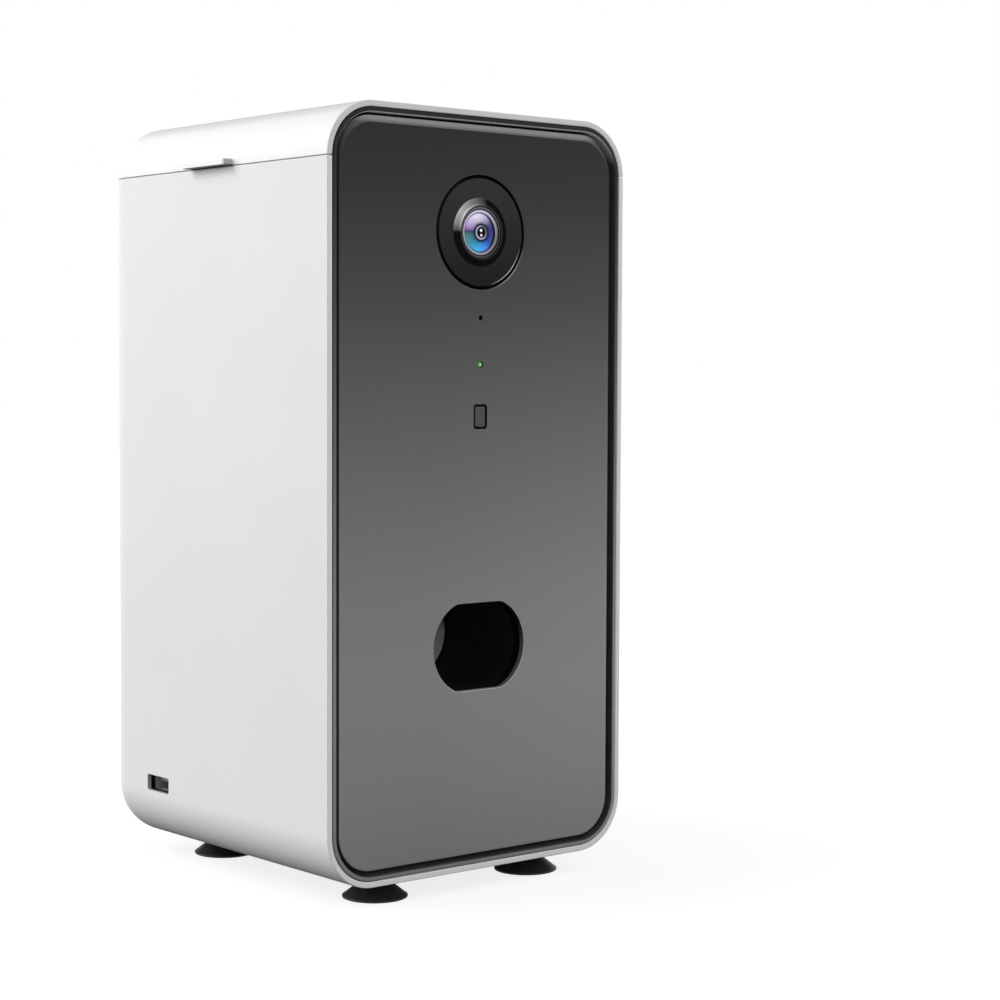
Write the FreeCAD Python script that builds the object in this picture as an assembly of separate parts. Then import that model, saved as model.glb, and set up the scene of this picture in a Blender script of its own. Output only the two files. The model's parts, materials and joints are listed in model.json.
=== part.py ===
import FreeCAD, Part
import math
import os

V = FreeCAD.Vector

# A treat tossing pet camera. X runs across the front, Y from front to back and Z up.
# The origin is on the table, under the middle of the object. Sizes are millimetres.

# ---- shell and lid ----
shell_width = 125.0
shell_depth = 136.0
shell_height = 249.0
corner_radius = 18.0        # corners of the front outline
back_edge_radius = 16.0     # rounding where the sides run into the back
shell_wall = 2.5
rim_width = 1.95            # white edge that shows round the front frame
rim_round = 0.4
rim_chamfer = 0.25
fillet_margin = 0.5         # least a corner keeps beyond a rounding that meets it
over = 1.0                  # how far a cut runs past a face, or a joined piece runs in
lid_height = 18.0
seam_gap = 0.3
lid_play = 0.3              # running gap between the lid and what stands in it

# ---- lid hinge, on the right, and finger tab, on the left ----
hinge_axis_out = 1.1        # pin centre beyond the side wall
knuckle_radius = 2.45
knuckle_play = 0.35
knuckle_gap = 0.4
lid_knuckle_length = 24.0
body_knuckle_length = 16.0
pin_radius = 1.0
pin_end_gap = 0.5
running_play = 0.05
tab_length = 24.6
tab_height = 2.3
tab_y = -2.9
tab_round = 0.9
magnet_radius = 2.6

# ---- front frame and panel ----
frame_depth = 6.0
ring_width = 1.4            # black ring that shows round the panel
groove_width = 1.1
panel_recess = 1.05         # panel face behind the rim
panel_thickness = 2.0
panel_edge_width = 2.2
panel_edge_drop = 0.6
hole_round = 0.4

# ---- camera ----
camera_drop = 39.3          # lens centre below the top of the shell
camera_ring_radius = 17.55
camera_groove = 1.05
dish_depth = 0.6
cone_radius = 11.2
cone_top_radius = 8.9
cone_rise = 0.35            # cone's top in front of the panel
lens_ring_outer = 8.3
lens_ring_inner = 6.5
lens_ring_thickness = 0.9
lens_crown = 1.1
lens_lip = 0.6              # how far the lens ring's inner edge lies behind its outer one
camera_length = 19.0        # lens seat to camera board
camera_stem_radius = 7.0
sensor_block = 18.0
camera_board_side = 30.0
camera_post_pitch = 24.0

# ---- microphone, light and toss button, each below the one before ----
mic_drop = 27.8
light_drop = 15.3
button_drop = 17.0
mic_hole_radius = 0.9
mic_boot_radius = 3.2
mic_boot_wall = 0.6
mic_height = 2.25
light_radius = 1.0
light_play = 0.1
button_width = 4.6
button_height = 6.95
button_border = 0.55
button_round = 0.7
button_recess = 0.25
button_travel = 0.8
button_collar = 1.6
button_collar_thickness = 1.0
switch_side = 6.0
switch_height = 3.5
switch_stem_radius = 1.2

# ---- circuit boards ----
board_thickness = 1.6
post_radius = 2.6
liner_boss_radius = 3.6
main_board_width = 76.0
main_board_stand_off = 9.0
main_board_margin = 16.0    # board beyond the button and the microphone
shield_width = 24.0
shield_height = 18.0
shield_thickness = 2.5
shield_corner = 1.0
ribbon_width = 12.0
ribbon_thickness = 0.3

# ---- outlet and launcher ----
outlet_rise = 74.0          # outlet centre above the bottom of the shell
outlet_width = 38.5
outlet_height = 28.7
outlet_side_radius = 15.35
outlet_blend = 4.0
barrel_play = 0.4
barrel_wall = 2.0
plunger_set_back = 42.0     # pad face behind the panel face
plunger_length = 26.0
plunger_travel = 20.0
pad_thickness = 1.5
plunger_stop_gap = 3.0
spring_radius = 7.5         # to the middle of the wire
spring_wire_radius = 0.7
spring_turns = 9
spring_play = 0.8
spring_seat = 6.0           # plunger front left solid before the spring pocket
cap_thickness = 3.0
cap_boss_length = 6.0
gear_module = 1.5
gear_width = 7.0
gear_hub_reach = 3.0
pressure_angle = 20.0
tooth_share = 0.9           # tooth thickness as a share of half the pitch
winding_teeth = 16          # teeth that a full winding gear would have
winding_teeth_cut = 6
rack_width = 8.0
rack_side_play = 0.6
winding_shaft_radius = 2.0
bush_wall = 1.5
bush_flange = 1.0

# ---- chassis and motors ----
boss_height = 4.0
boss_radius = 4.5
boss_inset_x = 18.5
boss_inset_front = 26.0
boss_inset_back = 28.0
chassis_plate = 2.5
chassis_side_gap = 1.5
cheek_gap = 2.35            # barrel side to chassis cheek
cheek_thickness = 2.5
cheek_front_gap = 16.0
cheek_back = 4.0
lug_height = 4.0
motor_width = 12.0
motor_height = 10.0
motor_length = 24.0
motor_can_share = 0.6
motor_bore_depth = 5.0
motor_boss_radius = 2.0
motor_boss_height = 1.2

# ---- dosing wheel and bin ----
chute_height = 13.25
drop_radius = 9.5
chute_wall = 2.0
deck_thickness = 2.5
deck_side_gap = 1.5
deck_front_gap = 16.0
deck_back_margin = 0.8      # deck beyond the pinion's wall
wheel_teeth = 44
pinion_teeth = 10
pinion_bearing = 45.0       # degrees from +X, from the wheel's axle to the pinion
wheel_height = 15.0
wheel_band = 6.0
wheel_play = 0.5
pocket_radius = 9.0
pocket_pitch_radius = 21.0
pocket_count = 6
axle_radius = 3.0
axle_cap = 2.5              # wheel left over the axle's end
axle_end_gap = 0.5
housing_wall = 2.5
feed_shaft_radius = 1.5
agitator_radius = 9.6
agitator_tip_radius = 4.0
agitator_height = 12.0
agitator_arm_radius = 1.6
agitator_arm_reach = 20.0
agitator_arm_cover = 0.5
throat_radius = 31.0
throat_height = 3.5
bin_wall = 2.0
bin_side_gap = 8.0
bin_front_gap = 26.0
bin_back_gap = 9.5
bin_corner = 6.0
funnel_wall = 2.8
flange_thickness = 2.0
flange_drop = 1.0           # flange top below the seam
wiper_height = 2.0
wiper_rise = 0.5
wiper_reach = 1.0           # wiper beyond the pocket that empties
liner_thickness = 2.0
liner_rise = 1.5
gasket_width = 3.0
gasket_gap = 0.3

# ---- power socket and speaker ----
socket_y = 31.8
socket_rise = 21.2
slot_width = 13.4
slot_height = 5.35
slot_round = 0.8
socket_width = 12.5
socket_height = 5.1
socket_metal = 0.35
socket_depth = 14.0
tongue_thickness = 1.8
tongue_set_back = 2.0
tongue_offset = 1.05
tongue_side_gap = 0.7
power_board_gap = 0.5
power_board_width = 28.0
power_board_length = 24.0
speaker_radius = 20.0
speaker_depth = 10.0
speaker_rise = 42.0
speaker_rim = 2.5
speaker_magnet_share = 0.6
grille_hole_radius = 0.9
grille_pitch = 4.2
grille_rings = 3

# ---- suction cup feet ----
foot_height = 7.1
foot_rim_radius = 10.8
foot_rim_height = 0.8
foot_shoulder_radius = 4.6
foot_shoulder_height = 5.5
foot_neck_radius = 3.6
foot_lip = 1.2
foot_lip_height = 0.4
foot_edge_round = 0.4
foot_hollow = 2.2
foot_stud_radius = 5.4
foot_stud_height = 1.6
foot_inset_x = 30.0
foot_inset_front = 15.0
foot_inset_back = 32.6

# ---- screws ----
screw_radius = 1.2
screw_head_radius = 2.3
screw_head_height = 1.3
screw_length = 8.0
screw_hole_depth = 9.0
screw_sink = 0.4             # base screw heads above the shell's underside
cross_width = 0.6
cross_depth = 0.7
cross_share = 0.6           # recess length as a share of the head's width
base_screw_scale = 1.3

# ---- places worked out from the sizes ----
half_width = shell_width / 2
front_y = -shell_depth / 2
back_y = shell_depth / 2
shell_bottom = foot_height
shell_top = shell_bottom + shell_height
shell_middle = shell_bottom + shell_height / 2
seam_z = shell_top - lid_height
floor_z = shell_bottom + shell_wall
inner_half = half_width - shell_wall
inner_back = back_y - shell_wall

hinge_x = half_width + hinge_axis_out
hinge_y = (front_y + back_y - back_edge_radius) / 2
tab_reach = hinge_axis_out + knuckle_radius

frame_inset = rim_width + lid_play
pocket_inset = frame_inset + ring_width
panel_inset = pocket_inset + groove_width
panel_face = front_y + panel_recess
pocket_floor = panel_face + panel_thickness
frame_back = front_y + frame_depth
camera_z = shell_top - camera_drop
mic_z = camera_z - mic_drop
light_z = mic_z - light_drop
button_z = light_z - button_drop
camera_hole_radius = camera_ring_radius + camera_groove
lens_seat = panel_face + lens_ring_thickness
camera_board_y = lens_seat + camera_length

main_board_y = frame_back + main_board_stand_off
main_board_top = mic_z + main_board_margin / 2
main_board_bottom = button_z - main_board_margin

outlet_z = shell_bottom + outlet_rise
plunger_y = panel_face + plunger_set_back
plunger_back = plunger_y + plunger_length
barrel_back = plunger_back + plunger_travel + plunger_stop_gap
barrel_offset = barrel_play + barrel_wall
barrel_half = outlet_width / 2 + barrel_offset
barrel_top = outlet_z + outlet_height / 2 + barrel_offset
barrel_bottom = outlet_z - outlet_height / 2 - barrel_offset
pocket_of_spring = spring_radius + spring_wire_radius + spring_play

tooth_pitch = math.pi * gear_module
dedendum = 1.25 * gear_module
winding_radius = winding_teeth * gear_module / 2
rack_line = barrel_bottom - 0.5 * gear_module
winding_z = rack_line - winding_radius
winding_y = plunger_back - gear_module

chassis_bottom = floor_z + boss_height
chassis_top = chassis_bottom + chassis_plate
base_head_radius = screw_head_radius * base_screw_scale + lid_play
base_seat_z = shell_bottom + screw_sink + screw_head_height * base_screw_scale
cheek_x = barrel_half + cheek_gap
cheek_outside = cheek_x + cheek_thickness
cheek_front = frame_back + cheek_front_gap
cheek_end = barrel_back + cheek_back

deck_bottom = barrel_top + chute_height
deck_top = deck_bottom + deck_thickness
drop_y = plunger_y + plunger_travel / 2
wheel_y = drop_y + pocket_pitch_radius
wheel_bottom = deck_top + wheel_play
wheel_top = wheel_bottom + wheel_height
wheel_pitch_radius = wheel_teeth * gear_module / 2
pinion_pitch_radius = pinion_teeth * gear_module / 2
mesh_distance = wheel_pitch_radius + pinion_pitch_radius
pinion_x = mesh_distance * math.cos(math.radians(pinion_bearing))
pinion_y = wheel_y + mesh_distance * math.sin(math.radians(pinion_bearing))
housing_radius = wheel_pitch_radius + gear_module + wheel_play
pinion_room = pinion_pitch_radius + gear_module + 2 * wheel_play
mechanism_back = pinion_y + pinion_room + housing_wall + deck_back_margin
bin_bottom = wheel_top + wheel_play
throat_top = bin_bottom + throat_height
bin_half = inner_half - bin_side_gap
bin_front = frame_back + bin_front_gap
bin_back = inner_back - bin_back_gap
funnel_reach = math.hypot(bin_half, max(bin_back - wheel_y, wheel_y - bin_front))
funnel_top = throat_top + funnel_reach - throat_radius
flange_top = seam_z - flange_drop
liner_bottom = seam_z + liner_rise
gasket_bottom = flange_top + gasket_gap
magnet_x = -(inner_half + bin_half) / 2

socket_z = shell_bottom + socket_rise
speaker_z = shell_bottom + speaker_rise
foot_places = [
    ("foot_front_left", -1, front_y + foot_inset_front),
    ("foot_front_right", 1, front_y + foot_inset_front),
    ("foot_back_left", -1, back_y - foot_inset_back),
    ("foot_back_right", 1, back_y - foot_inset_back),
]
boss_places = [
    V(side * (half_width - boss_inset_x), y, 0)
    for side in (-1, 1)
    for y in (front_y + boss_inset_front, back_y - boss_inset_back)
]
liner_boss_places = [
    V(side * (bin_half - bin_corner), y, 0)
    for side in (-1, 1)
    for y in (bin_front + bin_corner, bin_back - bin_corner)
]
board_post_places = [
    V(side * (main_board_width / 2 - 2 * post_radius), 0, z)
    for side in (-1, 1)
    for z in (main_board_bottom + 2 * post_radius, main_board_top - 2 * post_radius)
]
camera_post_places = [
    V(side * camera_post_pitch / 2, 0, camera_z + up * camera_post_pitch / 2)
    for side in (-1, 1)
    for up in (-1, 1)
]


# ---- building blocks ----
def slab(x0, x1, y0, y1, z0, z1):
    """A box from its lowest to its highest corner."""
    return Part.makeBox(x1 - x0, y1 - y0, z1 - z0, V(x0, y0, z0))


def rod(radius, start, end):
    """A round bar between two points."""
    return Part.makeCylinder(radius, end.sub(start).Length, start, end.sub(start))


def tube(outer, inner, start, end):
    return rod(outer, start, end).cut(rod(inner, start, end))


def join(first, *others):
    return first.fuse(list(others)).removeSplitter()


def cut_from(first, *others):
    return first.cut(list(others))


def rounded_slab(x0, x1, y0, y1, z0, z1, radius, along):
    """A box whose four edges along one axis are rounded."""
    box = slab(x0, x1, y0, y1, z0, z1)
    edges = [e for e in box.Edges if abs(abs(e.tangentAt(e.FirstParameter).dot(along)) - 1) < 1e-6]
    return box.makeFillet(radius, edges)


def front_prism(inset, front, back):
    """The shell's front outline, drawn in by an inset, from one depth to another."""
    half_w = half_width - inset
    half_h = shell_height / 2 - inset
    return rounded_slab(
        -half_w, half_w, front, back, shell_middle - half_h, shell_middle + half_h,
        corner_radius - inset, V(0, 1, 0))


def edges_at_depth(shape, depth):
    return [e for e in shape.Edges if all(abs(v.Y - depth) < 1e-4 for v in e.Vertexes)]


def shell_block(inset, front):
    """The space inside the shell's outside, drawn in by an inset, with its rounded back."""
    block = front_prism(inset, front, back_y - inset)
    rounding = min(back_edge_radius, corner_radius - fillet_margin) - inset
    return block.makeFillet(rounding, edges_at_depth(block, back_y - inset))


def outlet_prism(offset, front, back):
    """The outlet's outline, grown by an offset: flat above and below, arcs at the sides."""
    half_h = outlet_height / 2 + offset
    radius = outlet_side_radius + offset
    centre = outlet_width / 2 - outlet_side_radius
    flat = centre + math.sqrt(radius ** 2 - half_h ** 2)
    side = centre + radius
    corners = [V(x, front, outlet_z + z) for x, z in
               ((-flat, -half_h), (flat, -half_h), (flat, half_h), (-flat, half_h))]
    right = Part.Arc(corners[1], V(side, front, outlet_z), corners[2]).toShape()
    left = Part.Arc(corners[3], V(-side, front, outlet_z), corners[0]).toShape()
    low = Part.LineSegment(corners[0], corners[1]).toShape()
    high = Part.LineSegment(corners[2], corners[3]).toShape()
    prism = Part.Face(Part.Wire([low, right, high, left])).extrude(V(0, back - front, 0))
    long_edges = [e for e in prism.Edges if abs(e.Length - (back - front)) < 1e-6 and
                  abs(e.Vertexes[0].Y - e.Vertexes[-1].Y) > 1e-6]
    return prism.makeFillet(outlet_blend + offset, long_edges)


def turned(profile, base, axis, across):
    """A solid of revolution from (radius, distance along the axis) corners."""
    points = [base + across * r + axis * h for r, h in profile]
    face = Part.Face(Part.makePolygon(points + points[:1]))
    return face.revolve(base, axis, 360)


def camera_turned(profile):
    """A turned piece on the lens axis; its distances are depths from the origin."""
    return turned(profile, V(0, 0, camera_z), V(0, 1, 0), V(1, 0, 0))


def tooth_corners(teeth, turn):
    """Root, tip, tip and root of one straight-flanked tooth, as (radius, angle)."""
    pitch_radius = teeth * gear_module / 2
    root = pitch_radius - dedendum
    tip = pitch_radius + gear_module
    half = tooth_share * tooth_pitch / 4
    slope = math.tan(math.radians(pressure_angle))
    at_root = (half + dedendum * slope) / pitch_radius
    at_tip = (half - gear_module * slope) / tip
    return [(root, turn - at_root), (tip, turn - at_tip), (tip, turn + at_tip), (root, turn + at_root)]


def spur_gear(teeth, width, base, turn):
    """A whole gear on a Z axis, with one tooth centred on the angle given."""
    corners = []
    for index in range(teeth):
        corners += tooth_corners(teeth, turn + 2 * math.pi * index / teeth)
    points = [base + V(r * math.cos(a), r * math.sin(a), 0) for r, a in corners]
    return Part.Face(Part.makePolygon(points + points[:1])).extrude(V(0, 0, width))


def screw(place, inward, scale=1.0, length=screw_length):
    """A pan head screw, its head's underside on the place, with a cross recess."""
    head_top = place - inward * screw_head_height * scale
    head = rod(screw_head_radius * scale, place, head_top)
    shank = rod(screw_radius * scale, place, place + inward * length)
    across = V(1, 0, 0)
    upward = inward.cross(across)
    bars = []
    for long_way, short_way in ((across, upward), (upward, across)):
        reach = long_way * screw_head_radius * scale * cross_share + short_way * cross_width / 2
        deep = inward * cross_depth
        points = [head_top - reach, head_top + reach + deep]
        low = V(*(min(p[i] for p in points) for i in range(3)))
        high = V(*(max(p[i] for p in points) for i in range(3)))
        bars.append(slab(low.x, high.x, low.y, high.y, low.z, high.z))
    return join(head, shank).cut(bars)


# ---- shell, lid and hinge ----
def sleeve(rebate_depth):
    """The whole outer skin, open at the front, with the step that the front frame sits in."""
    outer = shell_block(0, front_y)
    outer = outer.makeFillet(rim_round, edges_at_depth(outer, front_y))
    room = shell_block(shell_wall, front_y - over)
    rebate = front_prism(rim_width, front_y - over, front_y + rebate_depth)
    skin = cut_from(outer, room, rebate)
    rim = [f for f in skin.Faces if all(abs(v.Y - front_y) < 1e-4 for v in f.Vertexes)][0]
    inner_edges = [e for w in rim.Wires if not w.isSame(rim.OuterWire) for e in w.Edges]
    return skin.makeChamfer(rim_chamfer, inner_edges)


def lid_knuckle_span():
    return hinge_y - lid_knuckle_length / 2, hinge_y + lid_knuckle_length / 2


def body_knuckle_spans():
    start, end = lid_knuckle_span()
    return [(start - knuckle_gap - body_knuckle_length, start - knuckle_gap),
            (end + knuckle_gap, end + knuckle_gap + body_knuckle_length)]


def hinge_rod(radius, start, end):
    return rod(radius, V(hinge_x, start, seam_z), V(hinge_x, end, seam_z))


def knuckle(span, up):
    """A hinge barrel and the web that joins it to the wall above or below the seam."""
    start, end = span
    low, high = sorted((seam_z + up * seam_gap / 2, seam_z + up * knuckle_radius))
    web = slab(half_width - shell_wall / 2, hinge_x, start, end, low, high)
    barrel = join(hinge_rod(knuckle_radius, start, end), web)
    return barrel.cut(hinge_rod(pin_radius + running_play, start - over, end + over))


def knuckle_notch(span):
    start, end = span
    return hinge_rod(knuckle_radius + knuckle_play, start - knuckle_gap, end + knuckle_gap)


def grille_holes():
    """Round holes on a triangular grid, out to a given number of rings."""
    holes = []
    for row in range(-grille_rings, grille_rings + 1):
        count = 2 * grille_rings + 1 - abs(row)
        for column in range(count):
            x = (column - (count - 1) / 2) * grille_pitch
            z = speaker_z + row * grille_pitch * math.sin(math.radians(60))
            holes.append(rod(grille_hole_radius, V(x, inner_back - over, z), V(x, back_y + over, z)))
    return holes


def port_slot():
    return rounded_slab(
        -half_width - over, -inner_half + over, socket_y - slot_width / 2, socket_y + slot_width / 2,
        socket_z - slot_height / 2, socket_z + slot_height / 2, slot_round, V(1, 0, 0))


def body_shell():
    room = slab(-half_width, half_width, front_y, back_y, shell_bottom, seam_z - seam_gap / 2)
    shell = sleeve(frame_depth).common(room)
    shell = shell.cut(knuckle_notch(lid_knuckle_span()))
    bosses = [rod(boss_radius, p + V(0, 0, floor_z - over), p + V(0, 0, chassis_bottom))
              for p in boss_places]
    shell = join(shell, *bosses, *[knuckle(span, -1) for span in body_knuckle_spans()])
    cuts = grille_holes() + [port_slot()]
    for place in boss_places:
        cuts.append(rod(screw_radius * base_screw_scale, place, place + V(0, 0, chassis_bottom + over)))
        cuts.append(rod(base_head_radius, place, place + V(0, 0, base_seat_z)))
    for name, side, y in foot_places:
        x = side * (half_width - foot_inset_x)
        cuts.append(rod(foot_neck_radius, V(x, y, 0), V(x, y, floor_z + over)))
    return shell.cut(cuts)


def lid_shell():
    room = slab(-half_width, half_width, front_y, back_y, seam_z + seam_gap / 2, shell_top)
    lid = sleeve(frame_depth + lid_play).common(room)
    lid = lid.cut([knuckle_notch(span) for span in body_knuckle_spans()])
    bosses = [tube(liner_boss_radius, screw_radius, p + V(0, 0, liner_bottom + liner_thickness),
                   p + V(0, 0, shell_top - shell_wall / 2)) for p in liner_boss_places]
    return join(lid, finger_tab(), knuckle(lid_knuckle_span(), 1), *bosses)


def finger_tab():
    low = seam_z + seam_gap / 2
    tab = slab(-half_width - tab_reach, -half_width + shell_wall / 2, tab_y - tab_length / 2,
               tab_y + tab_length / 2, low, low + tab_height)
    outer = [e for e in tab.Edges if all(v.X < -half_width and v.Z > low - 1e-4 for v in e.Vertexes)
             and not all(abs(v.Z - low) < 1e-4 for v in e.Vertexes)]
    return tab.makeFillet(tab_round, outer)


def hinge_pin():
    spans = body_knuckle_spans()
    return hinge_rod(pin_radius, spans[0][0] + pin_end_gap, spans[1][1] - pin_end_gap)


def lid_liner():
    layer = slab(-half_width, half_width, frame_back + lid_play, back_y, liner_bottom,
                 liner_bottom + liner_thickness)
    plate = shell_block(shell_wall + lid_play, front_y).common(layer)
    holes = [rod(screw_radius, p + V(0, 0, liner_bottom), p + V(0, 0, liner_bottom + screw_hole_depth))
             for p in liner_boss_places]
    magnet_hole = rod(magnet_radius, V(magnet_x, tab_y, liner_bottom), V(magnet_x, tab_y, shell_top))
    return plate.cut(holes + [magnet_hole])


def liner_screws():
    return Part.makeCompound([
        screw(p + V(0, 0, liner_bottom), V(0, 0, 1)) for p in liner_boss_places])


def bin_outline(grow, low, high):
    """The bin's rounded plan, grown outwards, between two heights."""
    return rounded_slab(-bin_half - grow, bin_half + grow, bin_front - grow, bin_back + grow,
                        low, high, bin_corner + grow, V(0, 0, 1))


def lid_gasket():
    outer = bin_outline(bin_wall + gasket_width / 2, gasket_bottom, liner_bottom)
    return outer.cut(bin_outline(bin_wall - gasket_width / 2, gasket_bottom, liner_bottom))


def lid_magnet():
    return rod(magnet_radius, V(magnet_x, tab_y, liner_bottom),
               V(magnet_x, tab_y, liner_bottom + liner_thickness))


def catch_magnet():
    return rod(magnet_radius, V(magnet_x, tab_y, flange_top - flange_thickness),
               V(magnet_x, tab_y, flange_top))


# ---- front frame, panel and what shows in them ----
def button_prism(grow, front, back):
    half_w = button_width / 2 + grow
    half_h = button_height / 2 + grow
    return rounded_slab(-half_w, half_w, front, back, button_z - half_h, button_z + half_h,
                        button_round + grow / 2, V(0, 1, 0))


def front_openings(front, back, lens_radius):
    """The outlet, button, light and microphone holes, and the lens hole of its own radius."""
    return [
        outlet_prism(0, front, back),
        button_prism(button_border, front, back),
        rod(light_radius + light_play, V(0, front, light_z), V(0, back, light_z)),
        rod(mic_hole_radius, V(0, front, mic_z), V(0, back, mic_z)),
        rod(lens_radius, V(0, front, camera_z), V(0, back, camera_z)),
    ]


def front_frame():
    plate = front_prism(frame_inset, front_y, frame_back)
    plate = plate.cut(front_prism(pocket_inset, front_y - over, pocket_floor))
    ring = [f for f in plate.Faces if all(abs(v.Y - front_y) < 1e-4 for v in f.Vertexes)][0]
    plate = plate.makeChamfer(rim_chamfer, ring.Edges)
    plate = plate.cut(front_openings(front_y, frame_back + over, lens_ring_outer + camera_groove))
    posts = [tube(post_radius, screw_radius, V(p.x, frame_back, p.z), V(p.x, main_board_y, p.z))
             for p in board_post_places]
    posts += [tube(post_radius, screw_radius, V(p.x, frame_back, p.z), V(p.x, camera_board_y, p.z))
              for p in camera_post_places]
    return join(plate, *posts)


def front_panel():
    edge_arc = (panel_edge_width ** 2 + panel_edge_drop ** 2) / (2 * panel_edge_drop)
    pillow = front_prism(panel_inset + panel_edge_width - edge_arc, panel_face, panel_face + 2 * edge_arc)
    pillow = pillow.makeFillet(edge_arc, edges_at_depth(pillow, panel_face))
    panel = pillow.common(front_prism(panel_inset, panel_face - over, pocket_floor))
    panel = panel.cut(front_openings(panel_face - over, pocket_floor + over, camera_hole_radius))
    soft = [e for e in edges_at_depth(panel, panel_face)
            if abs(e.CenterOfMass.x) < outlet_width
            and (abs(e.CenterOfMass.z - camera_z) < camera_ring_radius
                 or abs(e.CenterOfMass.z - outlet_z) < outlet_height)]
    return panel.makeFillet(hole_round, soft)


def camera_ring():
    """A shallow dish round a raised cone, which the lens stands in."""
    bore = lens_ring_outer + running_play
    return camera_turned([
        (bore, pocket_floor), (camera_ring_radius, pocket_floor), (camera_ring_radius, panel_face),
        (cone_radius, panel_face + dish_depth), (cone_top_radius, panel_face - cone_rise),
        (bore, panel_face - cone_rise)])


def lens_ring():
    return camera_turned([
        (lens_ring_inner, lens_seat), (lens_ring_outer, lens_seat), (lens_ring_outer, panel_face),
        (lens_ring_inner, panel_face + lens_lip)])


def lens_glass():
    """A round cap of glass that fills the lens ring."""
    radius = lens_ring_inner - running_play
    ball = (radius ** 2 + lens_crown ** 2) / (2 * lens_crown)
    centre = V(0, lens_seat - lens_crown + ball, camera_z)
    dome = Part.makeSphere(ball, centre)
    return dome.common(rod(radius, V(0, lens_seat - 2 * lens_crown, camera_z), V(0, lens_seat, camera_z)))


def camera_module():
    """The lens barrel and the block that holds the sensor on its board."""
    barrel = camera_turned([
        (0, lens_seat), (lens_ring_outer, lens_seat), (lens_ring_outer, frame_back),
        (camera_stem_radius, frame_back), (camera_stem_radius, camera_board_y), (0, camera_board_y)])
    half = sensor_block / 2
    block = slab(-half, half, camera_board_y - half, camera_board_y, camera_z - half, camera_z + half)
    return join(barrel, block)


def board_holes(places, front):
    return [rod(screw_radius, V(p.x, front, p.z), V(p.x, front + screw_hole_depth, p.z)) for p in places]


def camera_board():
    half = camera_board_side / 2
    board = slab(-half, half, camera_board_y, camera_board_y + board_thickness,
                 camera_z - half, camera_z + half)
    return board.cut(board_holes(camera_post_places, camera_board_y))


def camera_ribbon():
    """A flat cable, folded once, from the camera board down to the main board."""
    half = ribbon_width / 2
    rear = camera_board_y + board_thickness
    fold_z = main_board_top - ribbon_thickness
    drop = slab(-half, half, rear, rear + ribbon_thickness, fold_z, camera_z - camera_board_side / 4)
    run = slab(-half, half, main_board_y + board_thickness, rear + ribbon_thickness,
               fold_z - ribbon_thickness, fold_z)
    return join(drop, run)


def main_board():
    board = slab(-main_board_width / 2, main_board_width / 2, main_board_y,
                 main_board_y + board_thickness, main_board_bottom, main_board_top)
    return board.cut(board_holes(board_post_places, main_board_y))


def board_screws():
    rear = main_board_y + board_thickness
    screws = [screw(V(p.x, rear, p.z), V(0, -1, 0)) for p in board_post_places]
    rear = camera_board_y + board_thickness
    screws += [screw(V(p.x, rear, p.z), V(0, -1, 0)) for p in camera_post_places]
    return Part.makeCompound(screws)


def radio_shield():
    rear = main_board_y + board_thickness
    return rounded_slab(-shield_width / 2, shield_width / 2, rear, rear + shield_thickness,
                        light_z - shield_height / 2, light_z + shield_height / 2, shield_corner,
                        V(0, 1, 0))


def microphone():
    return rod(mic_boot_radius - mic_boot_wall, V(0, main_board_y - mic_height, mic_z),
               V(0, main_board_y, mic_z))


def mic_boot():
    return tube(mic_boot_radius, mic_hole_radius, V(0, frame_back, mic_z),
                V(0, main_board_y - mic_height, mic_z))


def light_pipe():
    return rod(light_radius, V(0, panel_face + light_play, light_z), V(0, main_board_y, light_z))


def button_key():
    key_front = panel_face + button_recess
    collar_front = frame_back + light_play
    collar_back = collar_front + button_collar_thickness
    key = button_prism(0, key_front, collar_front)
    key = key.makeFillet(button_round / 2, edges_at_depth(key, key_front))
    collar = button_prism(button_collar, collar_front, collar_back)
    return join(key, collar)


def switch_plunger():
    """The switch's own stem, which the key's collar pushes into the switch."""
    collar_back = frame_back + light_play + button_collar_thickness
    end = main_board_y - switch_height + 2 * button_travel
    return rod(switch_stem_radius, V(0, collar_back, button_z), V(0, end, button_z))


def switch_body():
    front = main_board_y - switch_height
    body = slab(-switch_side / 2, switch_side / 2, front, main_board_y,
                button_z - switch_side / 2, button_z + switch_side / 2)
    room = 3 * button_travel + running_play
    return body.cut(rod(switch_stem_radius + running_play, V(0, front, button_z),
                        V(0, front + room, button_z)))


# ---- launcher ----
def launch_barrel():
    """The tube behind the outlet, with a treat hole above and a slot for the rack below."""
    lug = lug_height / 2
    tube_wall = outlet_prism(barrel_offset, frame_back, barrel_back)
    lugs = slab(-cheek_x, cheek_x, cheek_front, barrel_back, outlet_z - lug, outlet_z + lug)
    solid = join(tube_wall, lugs)
    inside = outlet_prism(barrel_play, frame_back - over, barrel_back + over)
    treat_hole = rod(drop_radius, V(0, drop_y, outlet_z), V(0, drop_y, barrel_top + over))
    half = rack_width / 2 + rack_side_play
    slot = slab(-half, half, plunger_y, barrel_back + over, barrel_bottom - over, outlet_z)
    return solid.cut([inside, treat_hole, slot])


def barrel_cap():
    plate = outlet_prism(barrel_offset, barrel_back, barrel_back + cap_thickness)
    boss_radius_inside_spring = spring_radius - spring_wire_radius - barrel_play
    boss = rod(boss_radius_inside_spring, V(0, barrel_back - cap_boss_length, outlet_z),
               V(0, barrel_back, outlet_z))
    return join(plate, boss)


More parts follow.
